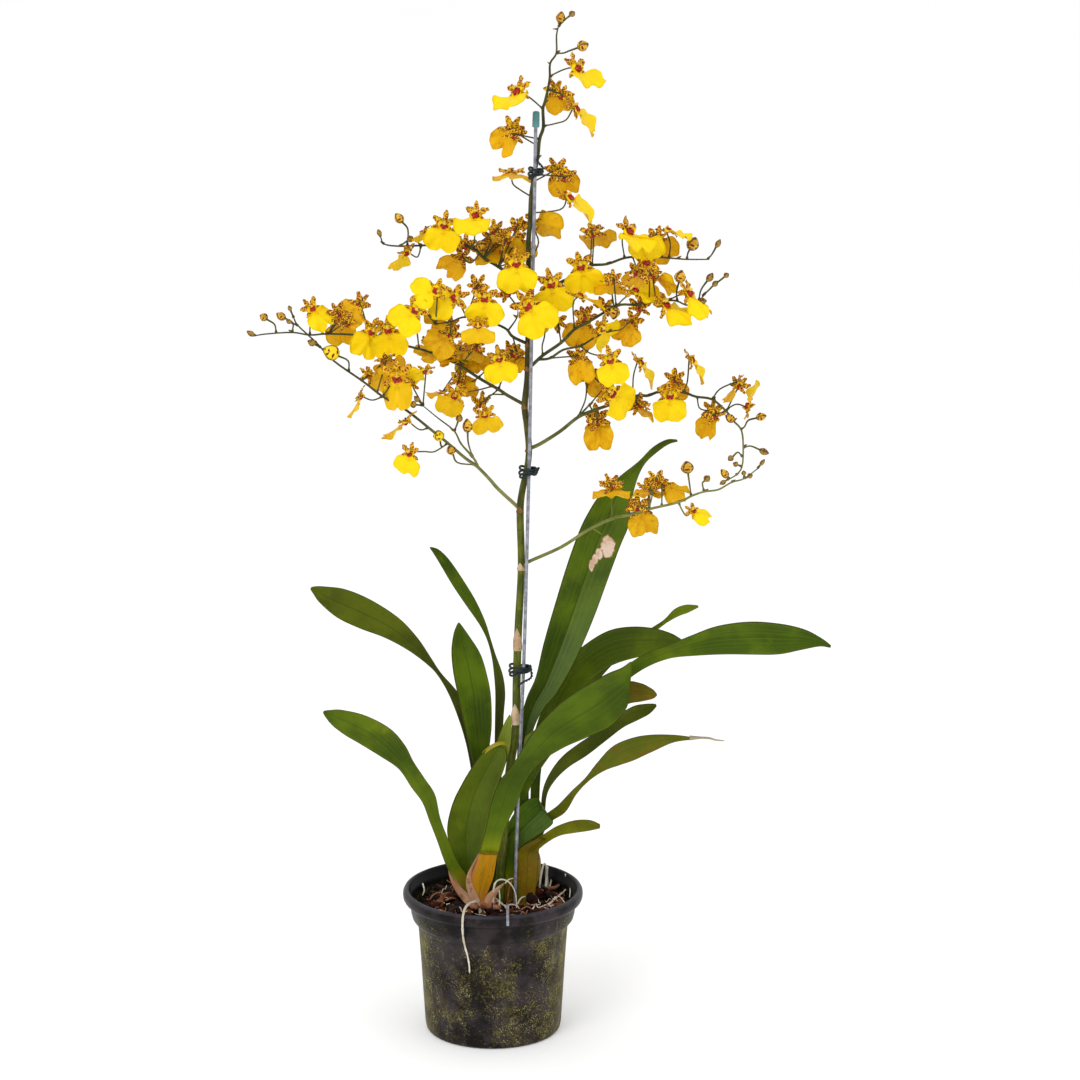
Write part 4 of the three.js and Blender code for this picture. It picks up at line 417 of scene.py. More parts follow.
# The stem: [across, up, radius]
STEM = [
    [4, 76, 3.4], [4.4, 95, 3.4], [8, 150, 3.3], [12.5, 196, 3.1], [16.6, 225, 3], [17.4, 262, 2.9],
    [18.6, 300, 2.8], [20.8, 345, 2.6], [20, 384, 2.6], [21.4, 400, 2.4], [25, 417, 2.3], [26.2, 431, 2.3],
    [24.8, 448, 2.3], [23.3, 462, 2.3], [25.2, 482, 2.2], [25.8, 505, 2.2], [26.2, 540, 2], [26, 556, 1.9],
]
# The wire stake: [across, up]
STAKE = [
    [15.6, 62], [15.9, 95], [18.2, 172], [22.5, 275], [24.6, 350], [26.6, 430], [27.6, 485], [28.8, 545],
    [30, 600], [31, 655], [31.2, 664],
]
# The end of a second wire, bent over the rim: [across, up, depth]
HOOK = [
    [10.6, 70, -48], [10.6, 88.6, -54], [10.6, 90.6, -58], [10.6, 87.6, -63], [10.6, 83, -65.9],
    [10.6, 76.5, -65.7],
]


# ---------------------------------------------------------------- mesh building
# How finely things are made: steps from one place of a route to the next, and sides and rings round them
STEPS = {"root": 6, "rootlet": 5, "fibre": 4, "stem": 8, "stake": 4, "hook": 6, "tail": 10, "bulb": 6,
         "leaf": 7, "skin": 5, "lip": 3, "column": 3, "stalk": 5, "bud_stalk": 4, "branch": 4}
SIDES = {"pot": 128, "drain": 24, "bark": 64, "chip": 12, "root": 10, "rootlet": 8, "fibre": 5, "stem": 20,
         "wire": 12, "cap": 20, "tie": 8, "turn": 32, "twist": 6, "bulb": 32, "callus": 16, "column": 10,
         "wing": 8, "stalk": 8, "bud_stalk": 7, "bud": 18, "branch": 10}
RINGS = {"callus": 9, "wing": 5, "bud": 12, "lip": 6}


def around(count):
    """Equal steps round a circle: each step's share of the turn and its angle."""
    return [(k / count, 2 * math.pi * k / count) for k in range(count)]


def bands(rows, cols, closed=True):
    """The quads between rows of points, round to the first column again where closed."""
    quads = []
    for i in range(rows - 1):
        for k in range(cols if closed else cols - 1):
            a, b = i * cols + k, i * cols + (k + 1) % cols
            quads.append((a, b, b + cols, a + cols))
    return quads


def caps(rows, cols):
    """The faces that close the first and the last ring of points."""
    last = (rows - 1) * cols
    return [tuple(reversed(range(cols))), tuple(range(last, last + cols))]


class Shape:
    """Gathers points, faces, a material slot for each face and three numbers for each point."""

    def __init__(self):
        self.points = []
        self.faces = []
        self.slots = []
        self.coords = []

    def add(self, points, faces, slot, coords):
        start = len(self.points)
        self.points.extend(map(tuple, np.asarray(points, float)))
        self.coords.extend(map(tuple, np.asarray(coords, float)))
        self.faces.extend([tuple(i + start for i in face) for face in faces])
        self.slots.extend([slot] * len(faces))

    def add_bar(self, points, sides, slot, coords):
        """A closed body whose points stand in rings of as many sides."""
        rows = len(points) // sides
        self.add(points, bands(rows, sides) + caps(rows, sides), slot, coords)

    def make(self, name, materials, slot, node=None):
        """The piece itself, riding on the part. It replaces the CAD node, where one is named."""
        mesh = bpy.data.meshes.new(name)
        mesh.from_pydata([tuple(c * MM for c in p) for p in self.points], [], self.faces)
        for material in materials:
            mesh.materials.append(material)
        mesh.polygons.foreach_set("material_index", self.slots)
        mesh.polygons.foreach_set("use_smooth", [True] * len(self.faces))
        attribute = mesh.attributes.new("coord", "FLOAT_VECTOR", "POINT")
        attribute.data.foreach_set("vector", np.asarray(self.coords, float).ravel())
        mesh.update()
        piece = bpy.data.objects.new(name, mesh)
        bpy.context.scene.collection.objects.link(piece)
        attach(piece, "root")
        if node:
            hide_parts(node)
        return piece


def unit(v):
    return v / max(np.linalg.norm(v), 1e-9)


def smooth(points, steps):
    """A Catmull-Rom curve through the points (rows of any width), steps to each span."""
    p = np.asarray(points, float)
    if len(p) < 3:
        return np.array([p[0] + (p[-1] - p[0]) * t for t in np.linspace(0, 1, steps + 1)])
    p = np.vstack([2 * p[0] - p[1], p, 2 * p[-1] - p[-2]])
    out = []
    for a, b, c, d in zip(p, p[1:], p[2:], p[3:]):
        for k in range(steps):
            t = k / steps
            out.append(0.5 * (2 * b + (c - a) * t + (2 * a - 5 * b + 4 * c - d) * t * t
                              + (3 * b - a - 3 * c + d) * t ** 3))
    return np.array(out + [p[-2]])


def tube(shape, route, radii, sides, slot, tag=0.0):
    """A closed round bar along a route, with one radius or one for each place."""
    route = np.asarray(route, float)
    radii = np.broadcast_to(np.asarray(radii, float), (len(route),))
    side = np.array([0.31, 0.87, 0.38])  # any start that no route follows
    points, coords, length = [], [], 0.0
    for i, place in enumerate(route):
        before = route[max(i - 1, 0)]
        along = unit(route[min(i + 1, len(route) - 1)] - before)
        side = unit(side - along * side.dot(along))
        across = np.cross(along, side)
        length += np.linalg.norm(place - before)
        for share, angle in around(sides):
            points.append(place + radii[i] * (side * math.cos(angle) + across * math.sin(angle)))
            coords.append((share, length, tag))
    shape.add_bar(points, sides, slot, coords)


def turned(shape, outline, sides, wobble=None):
    """A turned solid from a closed (radius, height) outline that starts and ends on the axis."""
    points, coords = [], []
    for i, (radius, height) in enumerate(outline):
        away = max(radius, 0.01)
        for share, angle in around(sides):
            lift = wobble(radius, angle, height) if wobble else 0
            points.append((away * math.cos(angle), away * math.sin(angle), height + lift))
            coords.append((share, height, i))
    shape.add(points, bands(len(outline), sides), 0, coords)


def sheet(shape, grid, thick, slots, coords, closed=False):
    """A thin closed blade: grid is rows x columns of places, thick its half thickness there.
    slots are the materials of the face along the grid's normal, the other face and the rim."""
    grid = np.asarray(grid, float)
    rows, cols = grid.shape[:2]
    down = np.gradient(grid, axis=0)
    over = (np.roll(grid, -1, 1) - np.roll(grid, 1, 1)) if closed else np.gradient(grid, axis=1)
    normal = np.cross(over, down)
    normal /= np.maximum(np.linalg.norm(normal, axis=2, keepdims=True), 1e-9)
    half = normal * np.broadcast_to(np.asarray(thick, float), (rows, cols))[..., None]
    coords = np.asarray(coords, float).reshape(-1, 3)
    quads = bands(rows, cols, closed)
    start = len(shape.points)
    shape.add((grid + half).reshape(-1, 3), [tuple(reversed(q)) for q in quads], slots[0], coords)
    shape.add((grid - half).reshape(-1, 3), quads, slots[1], coords)
    count = rows * cols
    edge = list(range(count - cols, count))
    if closed:
        rims = [(edge, 1), (list(range(cols)), -1)]
    else:
        right = [i * cols + cols - 1 for i in range(rows - 2, -1, -1)]
        left = [i * cols for i in range(1, rows - 1)]
        rims = [(edge + right + list(range(cols - 2, -1, -1)) + left, 1)]
    for rim, turn in rims:
        for a, b in zip(rim, rim[1:] + rim[:1]):
            shape.faces.append((start + a, start + b, start + count + b, start + count + a)[::turn])
            shape.slots.append(slots[2])


def woven(shape, rows, cols, place, thick, slots):
    """A sheet from place(t, v), which gives a point and its coordinates: t runs up the sheet from 0 to
    1, v across it from -1 to 1."""
    cells = [[place(i / (rows - 1), 2 * k / (cols - 1) - 1) for k in range(cols)] for i in range(rows)]
    grid = [[point for point, _ in row] for row in cells]
    sheet(shape, grid, thick, slots, [coord for row in cells for _, coord in row])


def blob(shape, centre, axes, slot, tag, kind, bumps=None):
    """A rounded body: axes are its three half axes as vectors, the last along its poles. bumps(angle,
    polar) scales it there."""
    rings, sides = RINGS[kind], SIDES[kind]
    points, coords = [], []
    for i in range(rings + 1):
        polar = math.pi * (i + 0.02) / (rings + 0.04)
        for share, angle in around(sides):
            scale = bumps(angle, polar) if bumps else 1
            points.append(centre + scale * (axes[0] * math.sin(polar) * math.cos(angle)
                                            + axes[1] * math.sin(polar) * math.sin(angle)
                                            + axes[2] * math.cos(polar)))
            coords.append((share, i / rings, tag))
    quads = [(a, d, c, b) for a, b, c, d in bands(rings + 1, sides)]
    ends = [tuple(reversed(end)) for end in caps(rings + 1, sides)]
    shape.add(points, quads + ends, slot, coords)


# ---------------------------------------------------------------- materials
PAINT = 0.9  # how much of a colour's lightness goes into its paint, as the light adds the rest
SCATTER = 0.002  # metres that light travels inside a petal


def srgb(red, green, blue):
    """A colour given as it looks on a screen, 0 to 255, in the renderer's own linear values."""
    def linear(value):
        value = value / 255
        return PAINT * (value / 12.92 if value <= 0.04045 else ((value + 0.055) / 1.055) ** 2.4)
    return (linear(red), linear(green), linear(blue), 1)


class Look:
    """A procedural material put together node by node. Its colour is built up in layers, and a colour
    is given as (red, green, blue) on a screen, 0 to 255."""

    def __init__(self, name, rough, gloss, through=0.0):
        self.material = bpy.data.materials.new(name)
        self.material.use_nodes = True
        self.tree = self.material.node_tree
        self.shader = self.tree.nodes["Principled BSDF"]
        self.fill(self.shader, {"Roughness": rough, "Specular IOR Level": gloss,
                                "Subsurface Weight": through, "Subsurface Scale": SCATTER})
        self.object = self.node("TexCoord", {}).outputs["Object"]
        self.world = self.scaled(self.object, (1, 1, 1))
        self.colour = None

    def fill(self, node, inputs):
        """Links each input of a node to another node's output, or sets it to a value."""
        for key, value in inputs.items():
            socket = node.inputs[key]
            if isinstance(value, bpy.types.NodeSocket):
                self.tree.links.new(value, socket)
            elif socket.type == "RGBA" and len(value) == 3:
                socket.default_value = srgb(*value)
            else:
                socket.default_value = value
        return node

    def node(self, kind, inputs, **settings):
        node = self.tree.nodes.new("ShaderNode" + kind)
        for key, value in settings.items():
            setattr(node, key, value)
        return self.fill(node, inputs)

    def scaled(self, vector, scale):
        return self.node("Mapping", {"Vector": vector, "Scale": scale}).outputs["Vector"]

    def parts(self, vector):
        return self.node("SeparateXYZ", {0: vector}).outputs

    def coords(self):
        """The three numbers that the mesh holds for each point."""
        return self.node("Attribute", {}, attribute_name="coord").outputs["Vector"]

    def coord(self, axis):
        return self.parts(self.coords())[axis]

    def noise(self, place, scale, detail=4, rough=0.6):
        inputs = {"Vector": place, "Scale": scale, "Detail": detail, "Roughness": rough}
        return self.node("TexNoise", inputs).outputs["Fac"]

    def grain(self, scale, detail=4, rough=0.6):
        """Noise the same size all over the piece."""
        return self.noise(self.world, scale, detail, rough)

    def streaks(self, scale, detail=3, rough=0.6):
        """Noise drawn out along the piece's own coordinates."""
        return self.noise(self.scaled(self.coords(), scale), 1.0, detail, rough)

    def cells(self, place, scale):
        return self.node("TexVoronoi", {"Vector": place, "Scale": scale}).outputs["Distance"]

    def net(self, scale, fine):
        """Cells over the piece's own coordinates, their walls made uneven by noise of a fine scale."""
        place = self.scaled(self.coords(), scale)
        return self.plus(self.cells(place, 1.0), self.times(self.noise(place, fine, 3, 0.7), 0.7))

    def near(self, centre, reach):
        """How far a place is from centre, [across, up, depth], in reaches across and up."""
        per_reach = (1 / (reach[0] * MM), 0, 1 / (reach[1] * MM))
        shift = self.node("VectorMath", {0: self.world, 1: on_sight(*centre) * MM}, operation="SUBTRACT")
        scale = self.node("VectorMath", {0: shift.outputs[0], 1: per_reach}, operation="MULTIPLY")
        return self.node("VectorMath", {0: scale.outputs[0]}, operation="LENGTH").outputs["Value"]

    def step(self, value, low, high, start=0.0, end=1.0):
        """Smoothly from start below low to end above high."""
        inputs = {"Value": value, "From Min": low, "From Max": high, "To Min": start, "To Max": end}
        return self.node("MapRange", inputs, interpolation_type="SMOOTHSTEP").outputs["Result"]

    def sum(self, kind, *values):
        return self.node("Math", dict(enumerate(values)), operation=kind).outputs[0]

    def plus(self, first, second):
        return self.sum("ADD", first, second)

    def less(self, first, second):
        return self.sum("SUBTRACT", first, second)

    def times(self, first, second):
        return self.sum("MULTIPLY", first, second)

    def mix(self, share, first, second):
        return self.node("Mix", {"Factor": share, 6: first, 7: second}, data_type="RGBA").outputs[2]

    def blend(self, first, second, value, low, high, start=0.0, end=1.0):
        """The first colour, turning into the second as value goes from low to high."""
        return self.mix(self.step(value, low, high, start, end), first, second)

    def cover(self, tone, share):
        """Lays a tone over the colour so far, by its share."""
        self.colour = self.mix(share, self.colour, tone)

    def tint(self, tone, value, low, high, start=0.0, end=1.0):
        """Lays a tone over the colour so far, as value goes from low to high."""
        self.cover(tone, self.step(value, low, high, start, end))

    def finish(self, height, distance, strength=0.6):
        """Paints the colour, raises the surface where height is great, and gives the material."""
        bump = self.node("Bump", {"Strength": strength, "Distance": distance * MM, "Height": height})
        self.fill(self.shader, {"Base Color": self.colour, "Normal": bump.outputs["Normal"]})
        return self.material


LEAF_GLOSS = 0.11


def leaf_look(name, dark, light, old, spots=0.0, base=None, base_top=0.0, stalk=None, painted_sheen=0.0,
              rough=0.42, scars=(), soft=False):
    """A long blade: slow changes of green, fine lines along it and darker edges. Some have a painted sheen,
    a painted highlight that makes one half paler, and some have scars, a browner stalk, spots or a dry skin
    up to a height."""
    look = Look(name, rough, LEAF_GLOSS)
    look.colour = look.blend(dark, light, look.grain(22, 3, 0.55), 0.36, 0.66)
    look.tint(old, look.grain(48, 5, 0.7), 0.55, 0.78, 0, 0.45)
    lines = look.streaks((34, 0.02, 1))
    look.tint(light, lines, 0.42, 0.62, 0, 0.3)
    look.tint(dark, look.grain(240), 0.54, 0.72, 0, 0.22)
    rib = look.less(look.coord(0), 0.5)
    if painted_sheen:
        # Painted highlight: a pale grey-green sheen laid over one half of the blade, fading out higher up
        half = look.times(look.step(rib, 0.01, 0.05), look.step(lines, 0.35, 0.6, 0.65, 1.0))
        half = look.times(half, look.step(look.coord(2), 0.26, 0.36, 1, 0.15))
        look.cover((110, 132, 74), look.times(half, painted_sheen))
    away = look.sum("ABSOLUTE", rib)
    look.tint(dark, away, 0.0, 0.03, 0.65, 0)
    look.tint(old, away, 0.44, 0.49, 0, 0.45)
    look.tint((44, 46, 10), away, 0.472, 0.495, 0, 0.8)
    if scars:
        add_scars(look, scars)
    if stalk:
        foot = look.plus(look.coord(1), look.times(look.grain(30, 2), 0.2))
        look.tint((70, 72, 28), foot, stalk[0], stalk[1], 0.75, 0)
    if spots:
        share = look.times(look.step(look.cells(look.world, 300), 0.14, 0.34, spots, 0),
                           look.step(look.grain(46, 3), 0.4, 0.58))
        look.cover((116, 62, 14), share)
        look.tint((128, 76, 18), look.grain(130, 5, 0.7), 0.52, 0.66, 0, 0.6)
    if base:
        add_dry_foot(look, base, base_top, soft)
    veins = look.streaks((46, 0.012, 1), 2, 0.5)
    return look.finish(look.plus(veins, look.times(look.grain(70, 3), 0.7)), 0.7)


def add_scars(look, scars):
    """Pale torn patches with a brown rim."""
    gap = look.near(*scars[0])
    for scar in scars[1:]:
        gap = look.sum("MINIMUM", gap, look.near(*scar))
    ragged = look.plus(gap, look.times(look.grain(260), 0.9))
    look.tint((142, 112, 70), ragged, 1.42, 1.5, 0.9, 0)
    pale = look.blend((226, 202, 182), (206, 168, 142), look.grain(150, 3), 0.42, 0.6)
    look.tint(pale, ragged, 1.28, 1.4, 1, 0)


def add_dry_foot(look, tones, top, soft):
    """Dry skin up to the height top, in metres: two main tones, its stains and its lowest part.
    It ends in a brown line, or fades out where it is soft."""
    first, second, stain, lowest = tones
    height = look.coord(2)
    look.tint((138, 148, 14), height, top, top + 0.018, 0.75, 0)
    wavy = look.plus(height, look.times(look.grain(160, 3), 0.003))
    skin = look.blend(first, second, look.streaks((16, 0.9, 1), 4, 0.7), 0.42, 0.6)
    skin = look.blend(skin, stain, look.streaks((22, 2.5, 1), 4, 0.7), 0.54, 0.64, 0, 0.75)
    skin = look.blend(skin, stain, look.grain(210, 5, 0.7), 0.58, 0.68, 0, 0.7)
    skin = look.blend(skin, lowest, look.coord(0), 0.05, 0.2, 0.8, 0)
    skin = look.blend(skin, lowest, height, top - 0.046, top - 0.022, 0.85, 0)
    look.tint(skin, wavy, top, top + (0.016 if soft else 0.0012), 1, 0)
    if not soft:
        line = look.sum("ABSOLUTE", look.less(wavy, top + 0.0008))
        look.tint((120, 62, 16), line, 0.0002, 0.0009, 0.7, 0)


def petal_look(name, base, blotch, cover, rim=None):
    """Sepals and petals: yellow, barred and blotched with chestnut brown."""
    look = Look(name, 0.5, 0.2, 0.08)
    bars = look.net((2.3, 8, 9), 2.2)
    tone = look.blend(blotch, (148, 66, 8), look.grain(700, 2), 0.4, 0.6)
    look.colour = look.blend(base, (250, 212, 40), look.grain(300, 3), 0.4, 0.65, 0, 0.5)
    look.tint(tone, bars, cover + 0.03, cover - 0.03)
    if rim:
        side = look.sum("ABSOLUTE", look.less(look.coord(0), 0.5))
        look.tint(rim, side, 0.43, 0.5, 0, 0.6)
    return look.finish(look.streaks((40, 2, 1)), 0.3, 0.4)


def bud_look():
    """A folded bud: gold with a brown net, dark seams, tip and foot. The third of its coordinates
    is 0 for the small greenish ones, 0.5 for the grown ones and 1 for those about to open."""
    look = Look("bud_netted", 0.5, 0.25, 0.05)
    ripe = look.coord(2)
    look.colour = look.blend((204, 150, 26), (232, 184, 44), look.grain(220, 3), 0.4, 0.62)
    look.colour = look.blend((158, 128, 44), look.colour, ripe, 0.1, 0.4)
    look.tint((252, 214, 12), ripe, 0.6, 0.9)
    net = look.plus(look.net((6, 7, 9), 2.4), look.step(ripe, 0.6, 0.9, 0, 0.16))
    look.tint((98, 40, 8), net, 0.86, 0.78)
    seam = look.sum("ABSOLUTE", look.less(look.sum("FRACT", look.times(look.coord(0), 3)), 0.5))
    look.tint((74, 34, 8), seam, 0.04, 0.12, 0.85, 0)
    look.tint((70, 36, 10), look.coord(1), 0.04, 0.2, 0.8, 0)
    look.tint((76, 66, 22), look.coord(1), 0.78, 0.92, 0, 0.85)
    return look.finish(look.plus(net, seam), 0.3, 0.4)


def lip_look(name, base, deep, shade, ray=0.25, varied=0.0):
    """The broad yellow lip: faint rays from its middle, deeper there, and one tone to each flower. Lips that
    sit in shade get a deeper gold as painted shade.
    """
    look = Look(name, 0.55, 0.14, 0.06)
    look.colour = look.blend(base, deep, look.grain(140, 3), 0.36, 0.68, 0, 0.6)
    look.tint(shade, look.streaks((26, 0.35, 1)), 0.44, 0.62, 0, ray)
    look.tint(deep, look.coord(1), 0.05, 0.45, 0.6, 0)
    if varied:
        look.tint(base, look.coord(2), 0.3, 0.9, 0, varied)
        look.tint((150, 88, 10), look.grain(260, 5, 0.7), 0.54, 0.66, 0, 0.4)
    # Painted shade: a deeper gold on the lips whose tag is raised by one, those that sit in shade
    look.tint((240, 188, 4), look.coord(2), 0.998, 1.0, 0, 0.75)
    return look.finish(look.streaks((30, 1.2, 1)), 0.35, 0.45)


def stem_look(name, low, high, rise, line):
    """One pair of tones below, turning into another over rise, with fine lines along the stem."""
    look = Look(name, 0.45, 0.2)
    patches = look.step(look.grain(120), 0.4, 0.62)
    up = look.parts(look.world)[2]
    look.colour = look.blend(look.mix(patches, *low), look.mix(patches, *high), up, *rise)
    lines = look.streaks((14, 0.03, 1), 3, 0.7)
    look.tint(line, lines, 0.5, 0.62, 0, 0.7)
    look.tint((132, 118, 66), look.grain(500, 4, 0.7), 0.62, 0.7, 0, 0.5)
    return look.finish(lines, 0.25, 0.5)


def wire_look():
    look = Look("galvanised_wire", 0.42, 0.5)
    look.fill(look.shader, {"Metallic": 0.35})
    look.colour = look.blend((160, 162, 172), (114, 116, 126), look.grain(260), 0.35, 0.65)
    return look.finish(look.grain(900), 0.08, 0.5)


def pot_look():
    """Dark plastic with a fine film of algae: thickest at the sides and in cloudy upright streaks, thin on
    the band and none on the rim. A painted highlight runs along the top of the rim, and painted shade
    darkens the inner wall."""
    look = Look("pot_plastic", 0.4, 0.09)
    across, deep, up = look.parts(look.world)
    look.colour = look.blend((22, 18, 18), (54, 47, 50), look.grain(50), 0.4, 0.65)
    # Painted highlight: a pale bluish-grey line along the top of the rim
    look.tint((82, 84, 98), up, 0.1035, 0.1055, 0, 0.3)
    # Painted shade: the inner wall above the step turns near-black, where little light reaches in
    radius = look.sum("POWER", look.plus(look.sum("POWER", across, 2), look.sum("POWER", deep, 2)), 0.5)
    wall = look.plus(INNER_WALL, look.times(up, INNER_SLOPE))
    inside = look.step(look.less(radius, wall), 0.0008, 0.0014, 0.85, 0)
    inside = look.times(inside, look.step(up, 0.082, 0.084))
    look.cover((12, 10, 12), inside)
    sides = look.step(look.sum("ABSOLUTE", across), 0.026, 0.052)
    body = look.sum("MAXIMUM", look.step(up, 0.078, 0.086, 1, 0), look.step(up, 0.09, 0.1, 0.4, 0))
    cloud = look.step(look.grain(30, 5, 0.75), 0.4, 0.64, 0.06, 0.85)
    upright = look.noise(look.scaled(look.object, (130, 130, 16)), 1.0, 4, 0.65)
    where = look.sum("MAXIMUM", look.times(sides, look.step(upright, 0.36, 0.56, 0.35, 1)), cloud)
    where = look.times(where, body)
    film = look.plus(look.grain(640, 5, 0.85), look.times(where, 0.13))
    film = look.times(look.step(film, 0.57, 0.64), look.step(where, 0, 0.3))
    tone = look.blend((92, 84, 32), (134, 126, 68), look.grain(90, 4, 0.7), 0.42, 0.62)
    look.cover(tone, look.times(film, look.step(sides, 0, 0.9, 0.55, 0.85)))
    size = look.times(look.step(look.grain(110, 4, 0.7), 0.4, 0.62, 0.2, 1), 0.36)
    dots = look.step(look.less(look.cells(look.world, 880), size), -0.1, 0.02, 1, 0)
    dots = look.times(dots, look.step(where, 0.1, 0.5, 0.07, 1))
    look.cover((176, 166, 108), look.times(dots, 0.8))
    look.fill(look.shader, {"Roughness": look.step(film, 0, 1, 0.36, 0.75)})
    return look.finish(look.plus(look.grain(700, 5, 0.7), look.grain(60, 2)), 0.12, 0.5)


# Rough surfaces: two slow tones and the tone of the specks, the scale of the specks and how rare they
# are, then roughness, gloss, bump, light let through and the scale of the slow tones
SPECKLED = {
    "bark_reddish": ((62, 22, 10), (28, 12, 8), (132, 74, 46), 420, 0.59, 0.85, 0.15, 0.8, 0, 60),
    "bark_pale": ((132, 82, 52), (84, 44, 26), (44, 22, 12), 300, 0.54, 0.9, 0.15, 0.9, 0, 60),
    "bark_dark": ((30, 15, 10), (52, 24, 14), (16, 10, 8), 340, 0.5, 0.85, 0.15, 0.8, 0, 60),
    "bark_pink": ((178, 122, 92), (136, 82, 56), (84, 44, 28), 420, 0.54, 0.85, 0.15, 0.6, 0, 60),
    "root_white": ((228, 220, 202), (200, 190, 168), (136, 106, 72), 520, 0.6, 0.75, 0.3, 0.3, 0, 60),
    "rootlet_reddish": ((150, 92, 54), (112, 62, 36), (196, 150, 106), 420, 0.58, 0.7, 0.3, 0.3, 0, 60),
    "twig_brown": ((176, 128, 92), (140, 92, 60), (96, 58, 36), 420, 0.56, 0.8, 0.25, 0.3, 0, 60),
    "bract_papery": ((206, 182, 150), (182, 150, 116), (132, 98, 72), 500, 0.56, 0.75, 0.25, 0.25, 0, 60),
    "bract_node": ((122, 92, 50), (96, 68, 34), (160, 130, 92), 500, 0.58, 0.75, 0.2, 0.25, 0, 60),
    "bract_brown": ((136, 100, 54), (164, 128, 76), (84, 54, 26), 500, 0.55, 0.7, 0.3, 0.2, 0, 60),
    "cap_teal": ((72, 130, 128), (98, 152, 150), (40, 84, 84), 300, 0.6, 0.45, 0.4, 0.1, 0, 60),
    "tie_paper": ((26, 46, 46), (18, 30, 32), (74, 98, 96), 700, 0.6, 0.55, 0.3, 0.2, 0, 60),
    "bulb_brown": ((134, 116, 14), (112, 82, 18), (84, 48, 18), 180, 0.54, 0.5, 0.35, 0.4, 0, 90),
    "bulb_olive": ((92, 104, 10), (116, 122, 18), (112, 80, 18), 200, 0.58, 0.5, 0.4, 0.3, 0, 90),
    "fresh_skin": ((112, 126, 16), (140, 148, 30), (176, 160, 60), 260, 0.62, 0.45, 0.3, 0.3, 0, 60),
    "gold_edge": ((160, 142, 22), (134, 130, 20), (122, 84, 18), 300, 0.6, 0.5, 0.3, 0.3, 0, 90),
    "callus_warts": ((186, 30, 2), (136, 16, 2), (240, 190, 100), 620, 0.6, 0.45, 0.3, 0.3, 0.05, 420),
    "column_cream": ((232, 188, 48), (244, 210, 90), (150, 64, 16), 700, 0.55, 0.45, 0.35, 0.15, 0.1, 60),
}


def speckled_look(name):
    first, second, speck, scale, cover, rough, gloss, depth, through, slow = SPECKLED[name]
    look = Look(name, rough, gloss, through)
    look.colour = look.blend(first, second, look.grain(slow, 4, 0.65), 0.38, 0.64)
    look.tint(speck, look.grain(scale, 5, 0.7), cover, cover + 0.07)
    return look.finish(look.grain(scale * 0.8, 5, 0.65), depth)


# ---------------------------------------------------------------- pot, bark and roots
# (radius, height) from the middle of the floor up the outside, over the rim and down the inside
POT_OUTLINE = [
    (0, 0), (46, 0), (47.9, 0.4), (48.7, 1.6), (49.2, 4), (49.4, 6), (50.7, 27), (52, 49), (53.2, 67),
    (54.2, 80), (55.2, 82), (57.2, 83.2), (58.2, 84.6), (59.1, 88), (59.6, 93), (59.9, 96.6), (60.4, 97),
    (62.4, 97.1), (63.9, 97.9), (64.7, 99.4), (RIM_RADIUS, 101.6), (64.8, 103.6), (63.9, 105.3),
    (62.4, POT_HEIGHT),
    (61.2, 105.8), (60.6, 104.9), (60.5, 103.6), (59.9, 103.2), (59.8, 101.2), (59.1, 100.8), (58.4, 97),
    (57.6, 88.6), (56.2, 84.9), (53.4, 82.6), (52.8, 81), (50.5, 49), (47.9, 6), (46, 2.2), (0, 2.2),
]
# The inner wall over the step, in metres: what its radius gains going up, and what it comes to at the floor;
# the pot's look paints shade on it
INNER_SLOPE = 0.22
INNER_WALL = 0.0563 - INNER_SLOPE * 0.0849
DRAIN_HOLES = 6
DRAIN_RING = 30
DRAIN_RADIUS = 4.5
DRAIN_DEPTH = 14


def make_pot(look):
    shape = Shape()
    turned(shape, POT_OUTLINE, SIDES["pot"])
    pot = shape.make("pot_shell", [look], "plastic", "pot")
    for k in range(DRAIN_HOLES):
        angle = 2 * math.pi * (k + 0.5) / DRAIN_HOLES
        bpy.ops.mesh.primitive_cylinder_add(
            vertices=SIDES["drain"], radius=DRAIN_RADIUS * MM, depth=DRAIN_DEPTH * MM,
            location=(DRAIN_RING * MM * math.cos(angle), DRAIN_RING * MM * math.sin(angle), 0))
        cutter = bpy.context.object
        cut = pot.modifiers.new("drain", "BOOLEAN")
        cut.object = cutter
        cut.solver = "EXACT"
        bpy.context.view_layer.objects.active = pot
        bpy.ops.object.modifier_apply(modifier=cut.name)
        bpy.data.objects.remove(cutter)


CHIP_ROWS = 6


def chip(shape, centre, size, turn, slot):
    """A rough flake of bark: a block with worn, uneven sides, from its half sizes and its turns."""
    tag = rng.random()
    spin = Matrix.Identity(3)
    for axis, angle in zip("XYZ", turn):
        spin = Matrix.Rotation(angle, 3, axis) @ spin
    points, coords = [], []
    for i in range(CHIP_ROWS):
        share = i / (CHIP_ROWS - 1)
        level = 2 * share - 1
        worn = 1 - 0.32 * abs(level) ** 3
        for along, angle in around(SIDES["chip"]):
            reach = worn / max(abs(math.cos(angle)), abs(math.sin(angle))) ** 0.75
            reach *= 1 + 0.14 * math.sin(3.1 * angle + 7 * tag + 2 * level)
            lift = level + 0.16 * math.sin(5 * angle + 11 * tag)
            place = np.array([reach * math.cos(angle), reach * math.sin(angle), lift]) * size
            points.append(np.array(spin @ Vector(place)) + centre)
            coords.append((along, share, tag))
    shape.add_bar(points, SIDES["chip"], slot, coords)


BARK_OUTLINE = [(0, 2.5), (45.3, 2.5), (49.8, 49), (52, 80.5), (53.6, 88), (51, 90.5), (44, 91.5), (34, 92),
                (22, 92.6), (10, 93), (0, 93.4)]
ROUGH_ABOVE = 85
# Rings of chips on the bark: (radius, count), and how far out they lie lower, against the wall
CHIP_RINGS = [(7, 5), (17, 10), (27, 16), (36, 22), (44, 26), (50, 30)]
CHIPS_DROP_AT = 47
CHIP_COLOURS = [0, 0, 2, 2, 2, 1]


